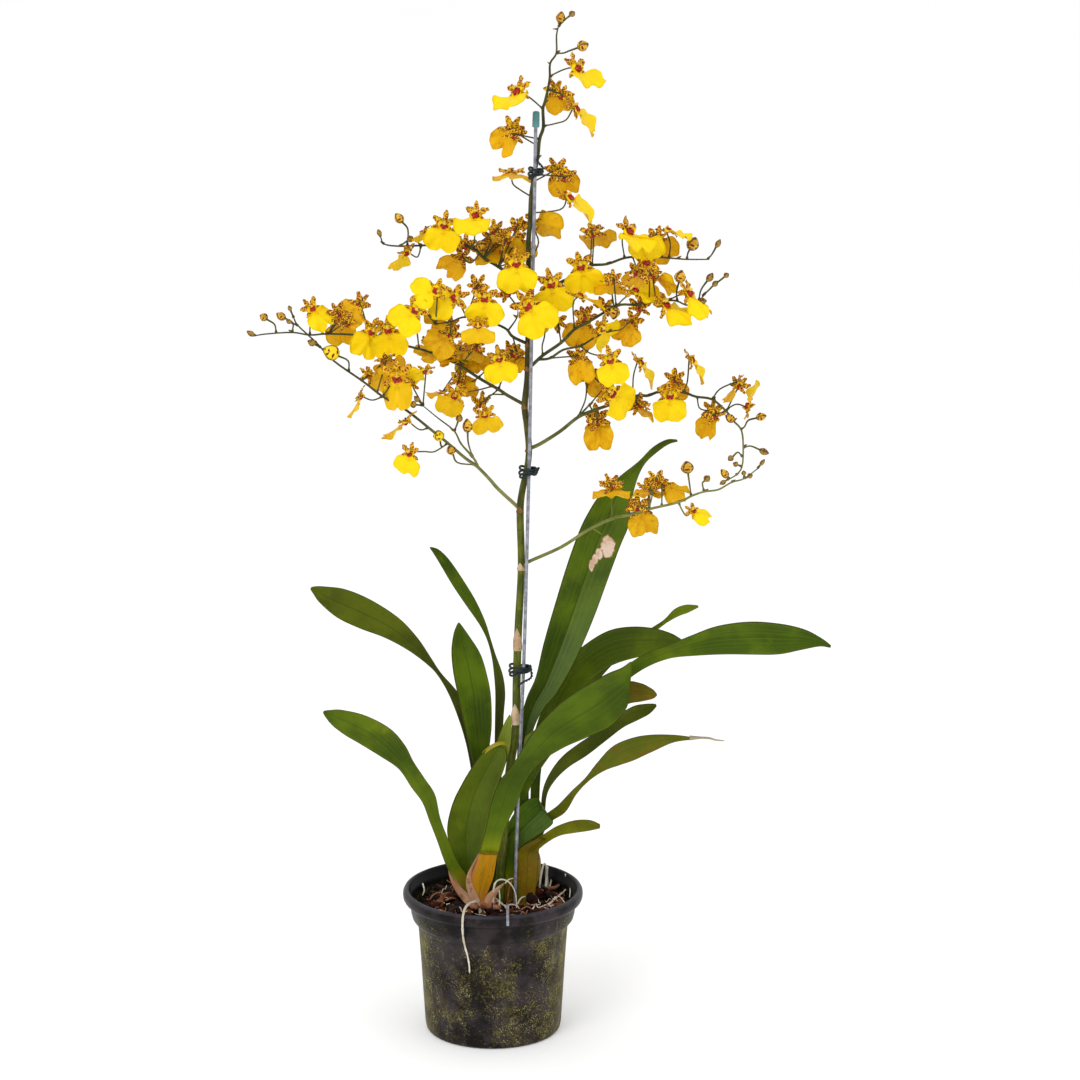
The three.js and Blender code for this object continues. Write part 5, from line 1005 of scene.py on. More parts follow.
def make_bark(looks):
    shape = Shape()

    def rough(radius, angle, height):
        return 1.4 * math.sin(5 * angle + radius) * math.sin(0.4 * radius) if height > ROUGH_ABOVE else 0

    turned(shape, BARK_OUTLINE, SIDES["bark"], rough)
    for ring, (radius, count) in enumerate(CHIP_RINGS):
        for k in range(count):
            angle = 2 * math.pi * (k + rng.uniform(-0.3, 0.3)) / count + ring
            away = radius + rng.uniform(-3.5, 3)
            big = rng.uniform(0.7, 1.35)
            size = (4.4 * big, 3 * big, 1.7 * rng.uniform(0.7, 1.2))
            turn = (rng.uniform(-0.5, 0.5), rng.uniform(-0.5, 0.5), rng.uniform(0, 6.3))
            up = BARK_TOP + rng.uniform(-0.5, 3.6) - (2.5 if away > CHIPS_DROP_AT else 0)
            centre = np.array([away * math.cos(angle), away * math.sin(angle), up])
            chip(shape, centre, size, turn, rng.choice(CHIP_COLOURS))
    shape.make("bark_mix", looks, "bark", "bark")


# Big pieces that lie on top of the mix: place, half sizes, turn and colour
BIG_CHIPS = [
    ((28, 97.5, -2), (5.5, 4.6, 3.4), (0.7, 0.35, 1.2), 0),
    ((31, 101, 14), (5.2, 3.6, 3), (0.3, -0.5, 0.4), 0),
    ((-38, 97, 8), (6, 4, 2.6), (0.2, 0.3, 0.5), 2),
    ((-31, 99, 14), (5, 4, 2.4), (-0.3, 0.2, 2.2), 0),
    ((42, 99, 12), (5, 3.4, 2.4), (0.2, 0.4, 0.2), 2),
    ((-6, 92, -19), (5.4, 3.2, 2.2), (0.4, 0.3, 0.3), 3),
    ((-1, 94, -17), (4.6, 2.6, 2), (0.2, -0.5, 0.8), 3),
    ((-13, 91, -21), (4.2, 2.8, 1.8), (0.3, 0.2, 2.6), 3),
    ((3, 90.4, -21), (3.6, 2.4, 1.6), (0.2, 0.4, 1.1), 3),
]


def make_big_chips(looks):
    shape = Shape()
    for place, size, turn, colour in BIG_CHIPS:
        chip(shape, on_sight(*place), size, turn, colour)
    shape.make("bark_big_chips", looks, "bark")


def make_root(name, look):
    radius, places = ROOTS[name]
    route = smooth([on_sight(*place) for place in places], STEPS["root"])
    count = len(route)
    radii = [radius * (0.98 - 0.5 * i / count) * (1 + 0.1 * math.sin(0.9 * i) + 0.06 * math.sin(2.3 * i))
             for i in range(count)]
    radii[-1] *= 0.6
    shape = Shape()
    tube(shape, route, radii, SIDES["root"], 0, rng.random())
    shape.make(name + "_skin", [look], "root", name)


# Loose rootlets and twigs on the bark: radius, colour and places
ROOTLETS = [
    (0.75, 0, [(1.2, 97.4, -10), (4.6, 95, -11.5), (8.2, 91.6, -13), (9.6, 89.6, -16)]),
    (0.5, 0, [(4.4, 104.6, -19), (5.0, 97.6, -20), (4.5, 92, -20.5), (5.5, 87.2, -22)]),
    (0.55, 0, [(-1.7, 87.8, -18), (1.0, 89.9, -16), (4.2, 89.4, -16), (6.6, 87.6, -19)]),
    (0.5, 0, [(8.6, 108.6, -20), (11.4, 111.6, -18), (14.6, 112.6, -16)]),
    (0.5, 1, [(13.6, 110.7, -9), (11.4, 103, -11), (10.2, 94, -13), (10, 88, -14)]),
    (0.6, 1, [(10.6, 90, -13), (11.6, 95, -12), (14.2, 96.2, -11)]),
    (0.6, 0, [(-31.6, 91.2, -9), (-29, 92.4, -8), (-26.6, 89, -16.5)]),
    (0.55, 0, [(-25.4, 90.8, -11), (-23.6, 90, -14), (-22.6, 87, -21)]),
    (0.7, 0, [(-33.6, 92.4, -6.4), (-31, 93.2, -5.6)]),
    (0.5, 0, [(-19.6, 87, -22), (-17, 88.2, -19), (-14.6, 86.6, -23)]),
    (0.5, 0, [(-9.8, 86.2, -24.6), (-7.5, 88.4, -19), (-5.6, 86.2, -24.4)]),
    (0.8, 2, [(-34, 95.6, 2), (-30.5, 97.2, 4.6), (-27, 97.2, 6)]),
    (0.75, 0, [(52.6, 115.8, 30), (53.3, 107.2, 31), (51.9, 103.1, 23), (48, 99.6, 12.6), (41.4, 93.2, -5)]),
    (0.6, 0, [(52.9, 110.9, 30), (55.4, 108.4, 25), (55.8, 102.3, 14), (55.4, 98, 9)]),
    (0.7, 0, [(42.4, 112, 42), (40.9, 105.6, 31)]),
    (0.6, 0, [(48.9, 109.8, 38), (46.2, 105.6, 31)]),
    (0.5, 0, [(28.8, 89, -16.6), (31.1, 93.4, -5.6), (32.7, 90.3, -13), (38.8, 92.6, -7)]),
    (0.6, 0, [(40.2, 92.4, -7), (44.1, 97.1, 4.4), (48, 98.7, 9), (51.8, 94.2, -2)]),
    (0.5, 0, [(44.6, 98.4, 9), (46.6, 95.2, 1)]),
    (0.6, 0, [(17.6, 92.6, -9), (20.2, 97.3, -6), (24.9, 99, -4), (27, 97, -3)]),
    (1.6, 2, [(33.2, 100.6, 17), (38, 104.6, 26), (44.8, 105.6, 28.6), (48.9, 108.6, 37)]),
    (1.1, 0, [(38.9, 121.4, 40), (38.6, 112, 38), (37.8, 104, 30)]),
    (0.6, 2, [(-44, 99, 12), (-40, 101.4, 17), (-34, 100.8, 16)]),
    (0.55, 0, [(-40.4, 93.6, -3), (-37, 95.4, -0.6), (-35, 93.4, -4)]),
    (0.5, 0, [(-50.6, 108.6, 10), (-49.6, 103.4, 6), (-51, 99.4, 4)]),
    (0.6, 2, [(20, 88.4, -18), (24.6, 91, -14), (28, 89, -17)]),
    (0.5, 0, [(33.6, 88.6, -18), (37, 90, -15), (41, 88.6, -17)]),
]
FIBRES = 90
FIBRE_SPREAD = 50
FIBRE_LIMIT = 54  # no part of a fibre lies farther out than this
FIBRE_COLOURS = [0, 1, 1, 2, 2]


def make_rootlets(looks):
    shape = Shape()
    for radius, colour, places in ROOTLETS:
        route = smooth([on_sight(*place) for place in places], STEPS["rootlet"])
        taper = [radius * (1.1 - 0.5 * i / len(route)) for i in range(len(route))]
        tube(shape, route, taper, SIDES["rootlet"], colour, rng.random())
    for _ in range(FIBRES):
        angle = rng.uniform(0, 2 * math.pi)
        away = FIBRE_SPREAD * math.sqrt(rng.uniform(0.12, 1))
        heading = rng.uniform(0, 2 * math.pi)
        length = rng.uniform(5, 13)
        start = np.array([away * math.cos(angle), away * math.sin(angle), BARK_TOP + rng.uniform(2, 5)])
        step = length / 3 * np.array([math.cos(heading), math.sin(heading), 0])
        route = [start + step * k + [0, 0, rng.uniform(-1, 1.8)] for k in range(4)]
        inside = [place for place in route if math.hypot(place[0], place[1]) < FIBRE_LIMIT]
        if len(inside) > 2:
            radius, colour = rng.uniform(0.18, 0.4), rng.choice(FIBRE_COLOURS)
            tube(shape, smooth(inside, STEPS["fibre"]), radius, SIDES["fibre"], colour, rng.random())
    shape.make("rootlets", looks, "root")


# ---------------------------------------------------------------- stem, stake and ties
PAPERY, BROWN_BRACT = 1, 2
# The bract at each joint of the stem: its height, its length, half its angle round the stem, its look
BRACTS = [
    (229, 16, 1.9, PAPERY), (284, 17, 1.9, PAPERY), (343, 6, 1.2, PAPERY), (385, 5, 1.3, BROWN_BRACT),
    (429, 5, 1.1, BROWN_BRACT), (460, 4.5, 1.1, BROWN_BRACT), (487, 4, 1.0, BROWN_BRACT),
    (504, 4, 1.0, BROWN_BRACT), (535, 4, 1.0, BROWN_BRACT),
]
BRACT_ROWS = 7
BRACT_COLUMNS = 11
BRACT_HALF = 0.16
BRACT_GAP = 0.35  # from the stem's skin to the foot of a bract
BRACT_FACING = -math.pi / 2 - 0.25  # to the front, turned a little to the left


def make_stem(looks):
    route = smooth([on_sight(across, up, 0) for across, up, _ in STEM], STEPS["stem"])
    radii = smooth([(radius, 0) for _, _, radius in STEM], STEPS["stem"])[:, 0]
    shape = Shape()
    tube(shape, route, radii, SIDES["stem"], 0)
    for bract in BRACTS:
        stem_bract(shape, *bract)
    shape.make("stem_skin", looks, "stem", "stem")


def stem_at(up):
    """Where the stem is at a height, and its radius there."""
    return [np.interp(up, [place[1] for place in STEM], [place[i] for place in STEM]) for i in (0, 2)]


def stem_bract(shape, up, reach, half, slot):
    def place(t, v):
        across, radius = stem_at(up + reach * t)
        angle = BRACT_FACING + (half * (1 - t) + 0.06) * v
        away = radius + BRACT_GAP + 0.5 * t
        point = on_sight(across, up + reach * t, 0) + away * np.array([math.cos(angle), math.sin(angle), 0])
        return point, ((v + 1) / 2, t, up)

    woven(shape, BRACT_ROWS, BRACT_COLUMNS, place, BRACT_HALF, (slot,) * 3)


STAKE_DEPTH = -4.6
STAKE_RADIUS = 1.25
HOOK_RADIUS = 1.05
CAP_TOP = (31.4, 669.5)
CAP_LENGTH = 11
CAP_LEAN = 0.3
# How far up the cap, as a share of its length, and its radius there
CAP_PROFILE = [(0, 2.35), (0.03, 2.5), (0.5, 2.45), (0.88, 2.4), (0.95, 2.15), (0.985, 1.6), (1, 0.8)]


def make_rod(name, node, route, radii, sides, look, slot):
    shape = Shape()
    tube(shape, route, radii, sides, 0)
    shape.make(name, [look], slot, node)


def make_stake(wire, rubber):
    route = smooth([on_sight(across, up, STAKE_DEPTH) for across, up in STAKE], STEPS["stake"])
    make_rod("stake_wire", "stake", route, STAKE_RADIUS, SIDES["wire"], wire, "wire")
    top = on_sight(*CAP_TOP, STAKE_DEPTH)
    foot = top + np.array([-CAP_LEAN, 0, -CAP_LENGTH])
    route = [foot + (top - foot) * share for share, _ in CAP_PROFILE]
    radii = [radius for _, radius in CAP_PROFILE]
    make_rod("stake_cap_rubber", "stake_cap", route, radii, SIDES["cap"], rubber, "cap")
    route = smooth([on_sight(*place) for place in HOOK], STEPS["hook"])
    make_rod("wire_hook_bend", "wire_hook", route, HOOK_RADIUS, SIDES["wire"], wire, "wire")


# Height on the stem, centre (across, depth), half size (across, depth), places of the twisted tail
TIES = {
    "tie_low": (270, (19.7, -1.6), (7.6, 6.1), [(27, 272), (28, 264), (22, 260), (18, 257)]),
    "tie_middle": (415, (25.6, -1.9), (6.2, 5.9), [(31, 415), (33, 417), (31.5, 413), (29.5, 412)]),
    "tie_top": (627, (31, -1.9), (4.9, 5.6), [(34, 627), (35.8, 630), (32, 635), (32.6, 639)]),
}
# Each turn of a tie round stem and stake: its lift, its tilt, how much wider it is than the first
TURNS = [(0, 0.9, 0), (2.2, -0.7, -0.35), (-1.7, 1.8, -0.5)]
TIE_WIRE = 0.85
TWIST_WIRE = 0.55
TWIST_END = 0.25
TWIST_STEP = 1.15  # radians the tail's two wires turn for each place along it


def make_tie(name, look):
    up, centre, half, tail = TIES[name]

    def one_turn(lift, tilt, wider):
        route = []
        for angle in np.linspace(0, 2 * math.pi, SIDES["turn"] + 1):
            across = centre[0] + (half[0] + wider) * math.cos(angle)
            place = on_sight(across, up + lift + tilt * math.cos(angle) + 0.5 * math.sin(3 * angle), 0)
            place[1] = centre[1] + (half[1] + wider) * math.sin(angle)
            route.append(place)
        return route

    shape = Shape()
    routes = [one_turn(*turn) for turn in TURNS]
    for route in routes:
        tube(shape, route, TIE_WIRE, SIDES["tie"], 0)
    depth = centre[1] - half[1] - 1
    line = smooth([routes[0][0]] + [on_sight(across, high, depth) for across, high in tail], STEPS["tail"])
    radii = [TWIST_WIRE] * (len(line) - 1) + [TWIST_END]
    for phase in (0, math.pi):
        angles = [TWIST_STEP * i + phase for i in range(len(line))]
        wound = [place + TWIST_WIRE * np.array([math.cos(angle), 0, math.sin(angle)])
                 for place, angle in zip(line, angles)]
        tube(shape, wound, radii, SIDES["twist"], 0)
    shape.make(name + "_twist", [look], "tie", name)


# ---------------------------------------------------------------- bulbs and leaves
def make_bulb(name, look):
    depth, flat, rows = BULBS[name]
    rows = smooth(rows, STEPS["bulb"])
    points, coords = [], []
    for i, (across, up, half) in enumerate(rows):
        for share, angle in around(SIDES["bulb"]):
            rib = 1 + 0.05 * math.sin(9 * angle) - 0.03 * math.sin(4 * angle)
            place = on_sight(across + half * rib * math.cos(angle), up, depth)
            place[1] += half * rib * flat * math.sin(angle)
            points.append(place)
            coords.append((share, i / len(rows), 0.5))
    shape = Shape()
    shape.add_bar(points, SIDES["bulb"], 0, coords)
    shape.make(name + "_skin", [look], "bulb", name)


RIB_HALF = 0.85
EDGE_HALF = 0.252
SKIN_HALVES = (0.2, 0.35)
LEAF_COLUMNS = 17
LEAF_WAVE = 0.35
SKIN_WAVE = 0.6


def blade(shape, leaf_rows, keel, halves, steps, slot, wavy):
    """A blade through its rows: folded along its midrib by keel and gently waved. halves are its half
    thickness at the edge and at the midrib."""
    rows = np.array(leaf_rows, float)
    widest = max(math.hypot(r[2] - r[0], r[3] - r[1]) for r in rows)
    fine = smooth(rows, steps)
    count = len(fine)
    left = np.array([on_sight(r[0], r[1], r[4] - r[5] / 2) for r in fine])
    right = np.array([on_sight(r[2], r[3], r[4] + r[5] / 2) for r in fine])
    middle = (left + right) / 2
    across = right - left
    width = np.linalg.norm(across, axis=1)
    out = np.cross(np.gradient(middle, axis=0), across)
    out /= np.maximum(np.linalg.norm(out, axis=1, keepdims=True), 1e-9)
    length = np.concatenate([[0], np.cumsum(np.linalg.norm(np.diff(middle, axis=0), axis=1))])
    grid = np.zeros((count, LEAF_COLUMNS, 3))
    coords = np.zeros((count, LEAF_COLUMNS, 3))
    half = np.zeros((count, LEAF_COLUMNS))
    tag = rng.random()
    for i in range(count):
        share = min(1, width[i] / widest * 1.3)
        for k in range(LEAF_COLUMNS):
            t = k / (LEAF_COLUMNS - 1)
            off = abs(2 * t - 1)
            fold = keel * share * (1 - off ** 1.3)
            wave = wavy * share * math.sin(length[i] * 0.11 + 9 * tag) * off ** 2
            grid[i, k] = left[i] + across[i] * t + out[i] * (fold + wave)
            coords[i, k] = (t, length[i] / length[-1], middle[i][2] * MM)
            half[i, k] = halves[0] + (halves[1] - halves[0]) * (1 - off ** 0.8)
    end = np.minimum(1, np.arange(count)[::-1] / 3 + 0.25)
    sheet(shape, grid, half * end[:, None], (slot,) * 3, coords)


def make_leaf(name, look, slot, extra=()):
    """extra holds skins that wrap the leaf's foot: (name, keel, look), None for the leaf's own look."""
    keel, rows = LEAVES[name]
    shape = Shape()
    blade(shape, rows, keel, (EDGE_HALF, RIB_HALF), STEPS["leaf"], 0, LEAF_WAVE)
    looks = [look]
    for skin, keel, other in extra:
        skin_look = other or look
        if skin_look not in looks:
            looks.append(skin_look)
        blade(shape, SKINS[skin], keel, SKIN_HALVES, STEPS["skin"], looks.index(skin_look), SKIN_WAVE)
    shape.make(name + "_blade", looks, slot, name)


# ---------------------------------------------------------------- flowers
FRONT, BACK, LIP_RIM, PETAL, PETAL_BACK, CALLUS, COLUMN, STALK, BUD, BRANCH, BRACT = range(11)
# Half of the lip's outline as (across, along), and the middle that its rings spread from
LIP_EDGE = [(0, -3.2), (3.2, -3.0), (5.2, -1.4), (5.0, 0.8), (3.8, 2.4), (5.4, 3.8), (9.6, 4.3), (13, 7),
            (14.1, 11.4), (13, 16.4), (10, 20.4), (6.4, 21.9), (2.8, 21.2), (0, 19.4)]
LIP_CENTRE = np.array([0.0, 6.0])
LIP_HALF = 0.16
RUFFLE_TURN = 6.28  # how far the ruffles of one lip may be turned against another's, in radians
# Where a lip starts to bend, how far along the bend is whole, and how rounded the fold of its sides is
LIP_NECK = 2.4
NECK_REACH = 4
FOLD_EASE = 1.5
# The small faces that close the lip's middle: their share of the outline and their height
HUB_SHARE = 0.05
HUB_TOP = 0.3
# Each sepal and petal: degrees from the lip, length, width, lift of its tip, curl
TEPALS = [(180, 11.2, 4.7, 1.2, -0.9), (124, 10.9, 5.6, -0.6, 0.9), (-124, 10.9, 5.6, -0.6, 0.9),
          (62, 10.0, 3.9, -2.2, -0.6), (-62, 10.0, 3.9, -2.2, -0.6)]
TEPAL_ROWS = 13
TEPAL_COLUMNS = 9
TEPAL_START = 1.2
TEPAL_DROP = 0.5
PETAL_HALF = 0.17
PEDICEL = 0.55
BRACT_LENGTH = 3.4
SMALL_BRACT_HALF = 0.12
SMALL_BRACT_ROWS = 4
SMALL_BRACT_COLUMNS = 5
# How far a flower's heart stands in front of its branch, and the step between neighbours
FACE_DEPTH = 12
STEP_DEPTH = 3


class Placed:
    """A flower's own axes and size: across, along the lip and out of its face."""

    def __init__(self, origin, lean, turn, nod, size):
        lean, turn, nod = math.radians(lean), math.radians(turn), math.radians(nod)
        along = Vector((math.sin(lean), 0, -math.cos(lean)))
        across = Vector((math.cos(lean), 0, math.sin(lean)))
        spin = Matrix.Rotation(-turn, 3, along)
        bow = Matrix.Rotation(-nod, 3, across)
        self.along = np.array(bow @ along)
        self.out = np.array(bow @ (spin @ Vector((0, -1, 0))))
        self.across = np.array(bow @ (spin @ across))
        self.origin = origin
        self.size = size

    def at(self, across, along, out):
        return self.origin + self.size * (self.across * across + self.along * along + self.out * out)

    def axes(self, across, along, out):
        """Three half axes of a blob, along the flower's own."""
        return [self.across * across * self.size, self.along * along * self.size, self.out * out * self.size]


def bent(across, along, out, bend, fold):
    """A place on a lip whose sides fold back and whose blade bends forward past its neck."""
    past = along - LIP_NECK
    share = min(1, max(0, past / NECK_REACH))
    out -= share * (math.hypot(across, FOLD_EASE) - FOLD_EASE) * math.sin(fold)
    across *= 1 - share * (1 - math.cos(fold))
    sine, cosine = math.sin(bend * share), math.cos(bend * share)
    return across, LIP_NECK + past * cosine - out * sine, out * cosine + past * sine


def make_lip(shape, flower, tag, bend, fold):
    half = smooth(LIP_EDGE, STEPS["lip"])
    edge = np.vstack([half, half[-2:0:-1] * [-1, 1]])
    bend, fold = math.radians(bend), math.radians(fold)

    def at(place, out):
        return flower.at(*bent(*place, out, bend, fold))

    phase = RUFFLE_TURN * tag
    grid, coords = [], []
    for ring in range(RINGS["lip"] + 1):
        s = 0.04 + 0.96 * (ring / RINGS["lip"]) ** 0.85
        row = []
        for place, (share, angle) in zip(edge, around(len(edge))):
            frill = 0.022 * math.sin(13 * angle + phase) + 0.02 * math.sin(8 * angle - 2 * phase)
            w, l = LIP_CENTRE + (place - LIP_CENTRE) * s * (1 + s ** 4 * frill)
            out = s ** 3 * (1.3 * math.sin(7 * angle + phase) + 0.8 * math.sin(12 * angle - phase))
            out += 0.013 * w * w - 0.0065 * l * l + 0.3 * math.sin(0.9 * w + phase) * s
            row.append(at((w, l), out))
            coords.append((share, s, tag))
        grid.append(row)
    sheet(shape, grid, LIP_HALF * flower.size, (FRONT, BACK, LIP_RIM), coords, closed=True)
    close_middle(shape, at, edge, tag)


def close_middle(shape, at, edge, tag):
    """Fans of faces over the hole in a lip's middle, in front and behind."""
    count = len(edge)
    round_hole = [LIP_CENTRE + (place - LIP_CENTRE) * HUB_SHARE for place in edge]
    points = [at(place, out) for out in (LIP_HALF, -LIP_HALF) for place in round_hole]
    points += [at(LIP_CENTRE, HUB_TOP), at(LIP_CENTRE, -HUB_TOP)]
    top, bottom = 2 * count, 2 * count + 1
    coords = [(0.5, 0, tag)] * len(points)
    start = len(shape.points)
    shape.add(points, [], FRONT, coords)
    for k in range(count):
        after = (k + 1) % count
        shape.faces.append((start + top, start + k, start + after))
        shape.faces.append((start + bottom, start + count + after, start + count + k))
        shape.slots += [FRONT, BACK]


def make_tepal(shape, flower, angle, length, width, lift, curl, tag):
    direction = math.radians(angle)
    ahead = np.array([math.sin(direction), math.cos(direction)])
    side = np.array([ahead[1], -ahead[0]])

    def place(t, v):
        reach = TEPAL_START + t * (length - TEPAL_START)
        half = width / 2 * (math.sin(math.pi * (0.12 + 0.85 * t ** 0.85)) ** 0.6) * (1 - 0.25 * (1 - t) ** 2)
        half *= 1 + 0.1 * math.sin(13 * t + 31 * tag)
        out = -TEPAL_DROP + lift * t * t + curl * v * v * half * 0.35
        out += 0.35 * math.sin(7 * t + 3 * v + 20 * tag) * t
        ruffle = math.sin(14 * t + 25 * tag + (2 if v > 0 else 0))
        out += 0.75 * ruffle * abs(v) ** 1.6 * (0.3 + 0.7 * t)
        return flower.at(*(ahead * reach + side * v * half), out), ((v + 1) / 2, t * length / 10, tag)

    woven(shape, TEPAL_ROWS, TEPAL_COLUMNS, place, PETAL_HALF * flower.size, (PETAL, PETAL_BACK, PETAL_BACK))


def make_petals(shape, flower):
    for angle, length, width, lift, curl in TEPALS:
        tilt = rng.uniform(-7, 7)
        stretch = rng.uniform(0.92, 1.06)
        lift *= rng.uniform(0.5, 1.4)
        make_tepal(shape, flower, angle + tilt, length * stretch, width, lift, curl, rng.random())


def make_heart(shape, flower, tag):
    """The callus that crowns the lip's foot, and the column with its two wings above it."""
    def warty(angle, polar):
        return 1 + 0.2 * math.sin(4 * angle + 9 * tag) * math.sin(3 * polar) + 0.12 * math.sin(7 * angle)

    blob(shape, flower.at(0, 1.0, 1.0), flower.axes(3.0, 2.5, 1.8), CALLUS, tag, "callus", warty)
    route = smooth([flower.at(0, -2.6, 0.2), flower.at(0, -2.3, 2.0), flower.at(0, -1.4, 3.6),
                    flower.at(0, -0.8, 4.2)], STEPS["column"])
    radii = np.linspace(0.85, 1.15, len(route)) * flower.size
    tube(shape, route, radii, SIDES["column"], COLUMN, tag)
    for side in (-1, 1):
        blob(shape, flower.at(side * 1.35, -1.3, 3.3), flower.axes(1.0, 0.3, 0.7), COLUMN, tag, "wing")


def make_stalk(shape, flower, stalk, tag):
    route = smooth(stalk + [flower.at(0, -1.0, -1.2), flower.at(0, -0.6, 0.3)], STEPS["stalk"])
    shares = np.linspace(0, 1, len(route))
    radii = PEDICEL + 0.5 * flower.size * np.maximum(0, (shares - 0.55) / 0.45) ** 1.5
    tube(shape, route, radii, SIDES["stalk"], STALK, tag)
    small_bract(shape, stalk[0], route[min(3, len(route) - 1)])


def small_bract(shape, foot, towards):
    ahead = unit(towards - foot)
    side = unit(np.cross(ahead, [0, 1, 0.1]))
    out = np.cross(side, ahead)

    def place(t, v):
        lift = 0.9 + 0.3 * t - 0.5 * v * v
        return foot + ahead * BRACT_LENGTH * t + side * v * (1 - t ** 2) + out * lift, ((v + 1) / 2, t, 0)

    woven(shape, SMALL_BRACT_ROWS, SMALL_BRACT_COLUMNS, place, SMALL_BRACT_HALF, (BRACT,) * 3)


# Buds so far open that their yellow shows, and the width below which a bud is still greenish
OPEN_BUDS = [(-112, 500), (-37, 440.5)]
SMALL_BUD = 5.2


def make_bud(shape, centre, length, width, stalk, ripe):
    tag = rng.random()
    along = unit(centre - stalk[-1])
    size = max(length, width * 0.9)

    def seams(angle, polar):
        tip = max(0, math.cos(polar))
        ribs = 0.09 * math.cos(3 * angle + 5 * tag) * math.sin(polar)
        return 1 + ribs - 0.28 * tip * math.sin(polar) + 0.06 * tip ** 8

    side = unit(np.cross(along, [0.2, 1, 0.1]))
    axes = [side * width / 2, np.cross(along, side) * width / 2, along * size / 2]
    blob(shape, centre, axes, BUD, ripe, "bud", seams)
    route = smooth(stalk + [centre - along * size * 0.4], STEPS["bud_stalk"])
    tube(shape, route, np.linspace(0.5, 0.75, len(route)), SIDES["bud_stalk"], STALK, tag)
    small_bract(shape, stalk[0], route[min(2, len(route) - 1)])


# Lips that sit in shade, painted a deeper gold as painted shade
LIPS_IN_PAINTED_SHADE = [(-66, 482.5), (-25.5, 469.5), (-4.7, 456), (-9.2, 520)]
# Lips that bend forward at their neck or fold their sides back, in degrees
BENT_LIPS = {
    (59.3, 699.5): (42, 0), (18.5, 683.5): (38, 0), (14.5, 657): (35, 35), (46, 628.5): (25, 25),
    (-66, 482.5): (0, 50), (-25.5, 469.5): (0, 32), (-20.5, 567): (40, 30), (-10.4, 597.4): (30, 0),
    (-9.2, 520): (12, 0), (-125, 531.7): (20, 30), (74, 452.5): (0, 42), (104, 386.5): (25, 30),
    (155, 457.5): (0, 45), (121, 405): (20, 35), (125, 469.7): (0, 25), (83.5, 471): (0, 25),
    (142, 386): (20, 42), (137.3, 542.5): (28, 45), (121, 534): (40, 32), (95.6, 586): (30, 0),
    (83, 495): (0, 28), (61, 497): (10, 38), (108, 563): (0, 25), (-83.5, 515.5): (20, 20),
}
# What is left of a branch's radius at its tip
BRANCH_TAPER = 0.36
TOP_TAPER = 0.25
HIDDEN_DEPTH = 0.5


def make_flower(shape, flower, stalk, place):
    tag = rng.random()
    # The tag of a lip in shade is raised by one, which paints shade on it
    make_lip(shape, flower, tag + 1 if place in LIPS_IN_PAINTED_SHADE else tag, *BENT_LIPS.get(place, (0, 0)))
    make_petals(shape, flower)
    make_heart(shape, flower, tag)
    make_stalk(shape, flower, stalk, tag)


def make_spray(name, looks):
    spray = SPRAYS[name]
    stem_side = spray["branches"][0][1][0][0]
    joints = [place for _, places in spray["branches"] for place in places]
    shape = Shape()

    def depth_at(across):
        return spray["slope"] * abs(across - stem_side)

    def nearest(across, up):
        return min(joints, key=lambda place: math.hypot(place[0] - across, place[1] - up))

    def stalk_to(places, end):
        """A stalk's places, deepening evenly from its branch towards end."""
        root = depth_at(places[0][0])
        step = (end - root) / len(places)
        return [on_sight(*place, root + step * i) for i, place in enumerate(places)]

    def add_flower(i, across, up, lean, turn, nod, size, stalk=None, heart=None):
        reach = FACE_DEPTH + (-STEP_DEPTH if i % 2 == 0 else STEP_DEPTH)
        if heart is None:
            heart = depth_at(across) - reach * math.cos(math.radians(turn))
        flower = Placed(on_sight(across, up, heart), lean, turn, nod, size)
        make_flower(shape, flower, stalk_to(stalk or [nearest(across, up)], heart), (across, up))

    def add_hidden(across, up):
        lean, nod, turn = rng.uniform(-50, 50), rng.uniform(0, 40), rng.uniform(150, 210)
        heart = depth_at(across)
        place = on_sight(across, up, heart + HIDDEN_DEPTH)
        flower = Placed(place, lean, turn, nod, rng.uniform(0.75, 0.9))
        make_petals(shape, flower)
        make_heart(shape, flower, rng.random())
        make_stalk(shape, flower, stalk_to([nearest(across, up)], heart), 0)

    def add_bud(across, up, length, width, stalk=None):
        heart = depth_at(across)
        ripe = 1.0 if (across, up) in OPEN_BUDS else 0.0 if width < SMALL_BUD else 0.5
        stalk = stalk_to(stalk or [nearest(across, up)], heart)
        make_bud(shape, on_sight(across, up, heart), length, width, stalk, ripe)

    for radius, places in spray["branches"]:
        route = smooth([on_sight(*place, depth_at(place[0])) for place in places], STEPS["branch"])
        tip = TOP_TAPER if name == "spray_top" else BRANCH_TAPER
        tube(shape, route, radius * np.linspace(1, tip, len(route)), SIDES["branch"], BRANCH)
        for place in places[1:-1:2]:
            foot = on_sight(*place, depth_at(place[0]))
            small_bract(shape, foot, foot + np.array([math.copysign(1, place[0] - stem_side), 0, 0.6]))
    for i, entry in enumerate(spray["flowers"]):
        add_flower(i, *entry)
    for entry in spray["hidden"]:
        add_hidden(*entry)
    for entry in spray["buds"]:
        add_bud(*entry)
    shape.make(name + "_bloom", looks, "flower", name)


# ---------------------------------------------------------------- the looks of the leaves, and the plant
GREEN_DARK = (48, 68, 0)
GREEN = (86, 108, 0)
GREEN_LIGHT = (108, 126, 6)
YELLOW_GREEN = (130, 138, 24)
OLIVE = (122, 112, 22)
YELLOW = (196, 158, 22)
GOLD = (255, 220, 0)

# The dry skin round the foot of a leaf: two main tones, its stains and its lowest part
ORANGE_SKIN = ((198, 128, 4), (154, 132, 8), (134, 64, 10), (178, 116, 70))
OLIVE_SKIN = ((124, 122, 16), (136, 128, 30), (142, 92, 40), (178, 136, 92))
BROWN_SKIN = ((112, 108, 14), (140, 104, 20), (104, 58, 18), (124, 84, 44))
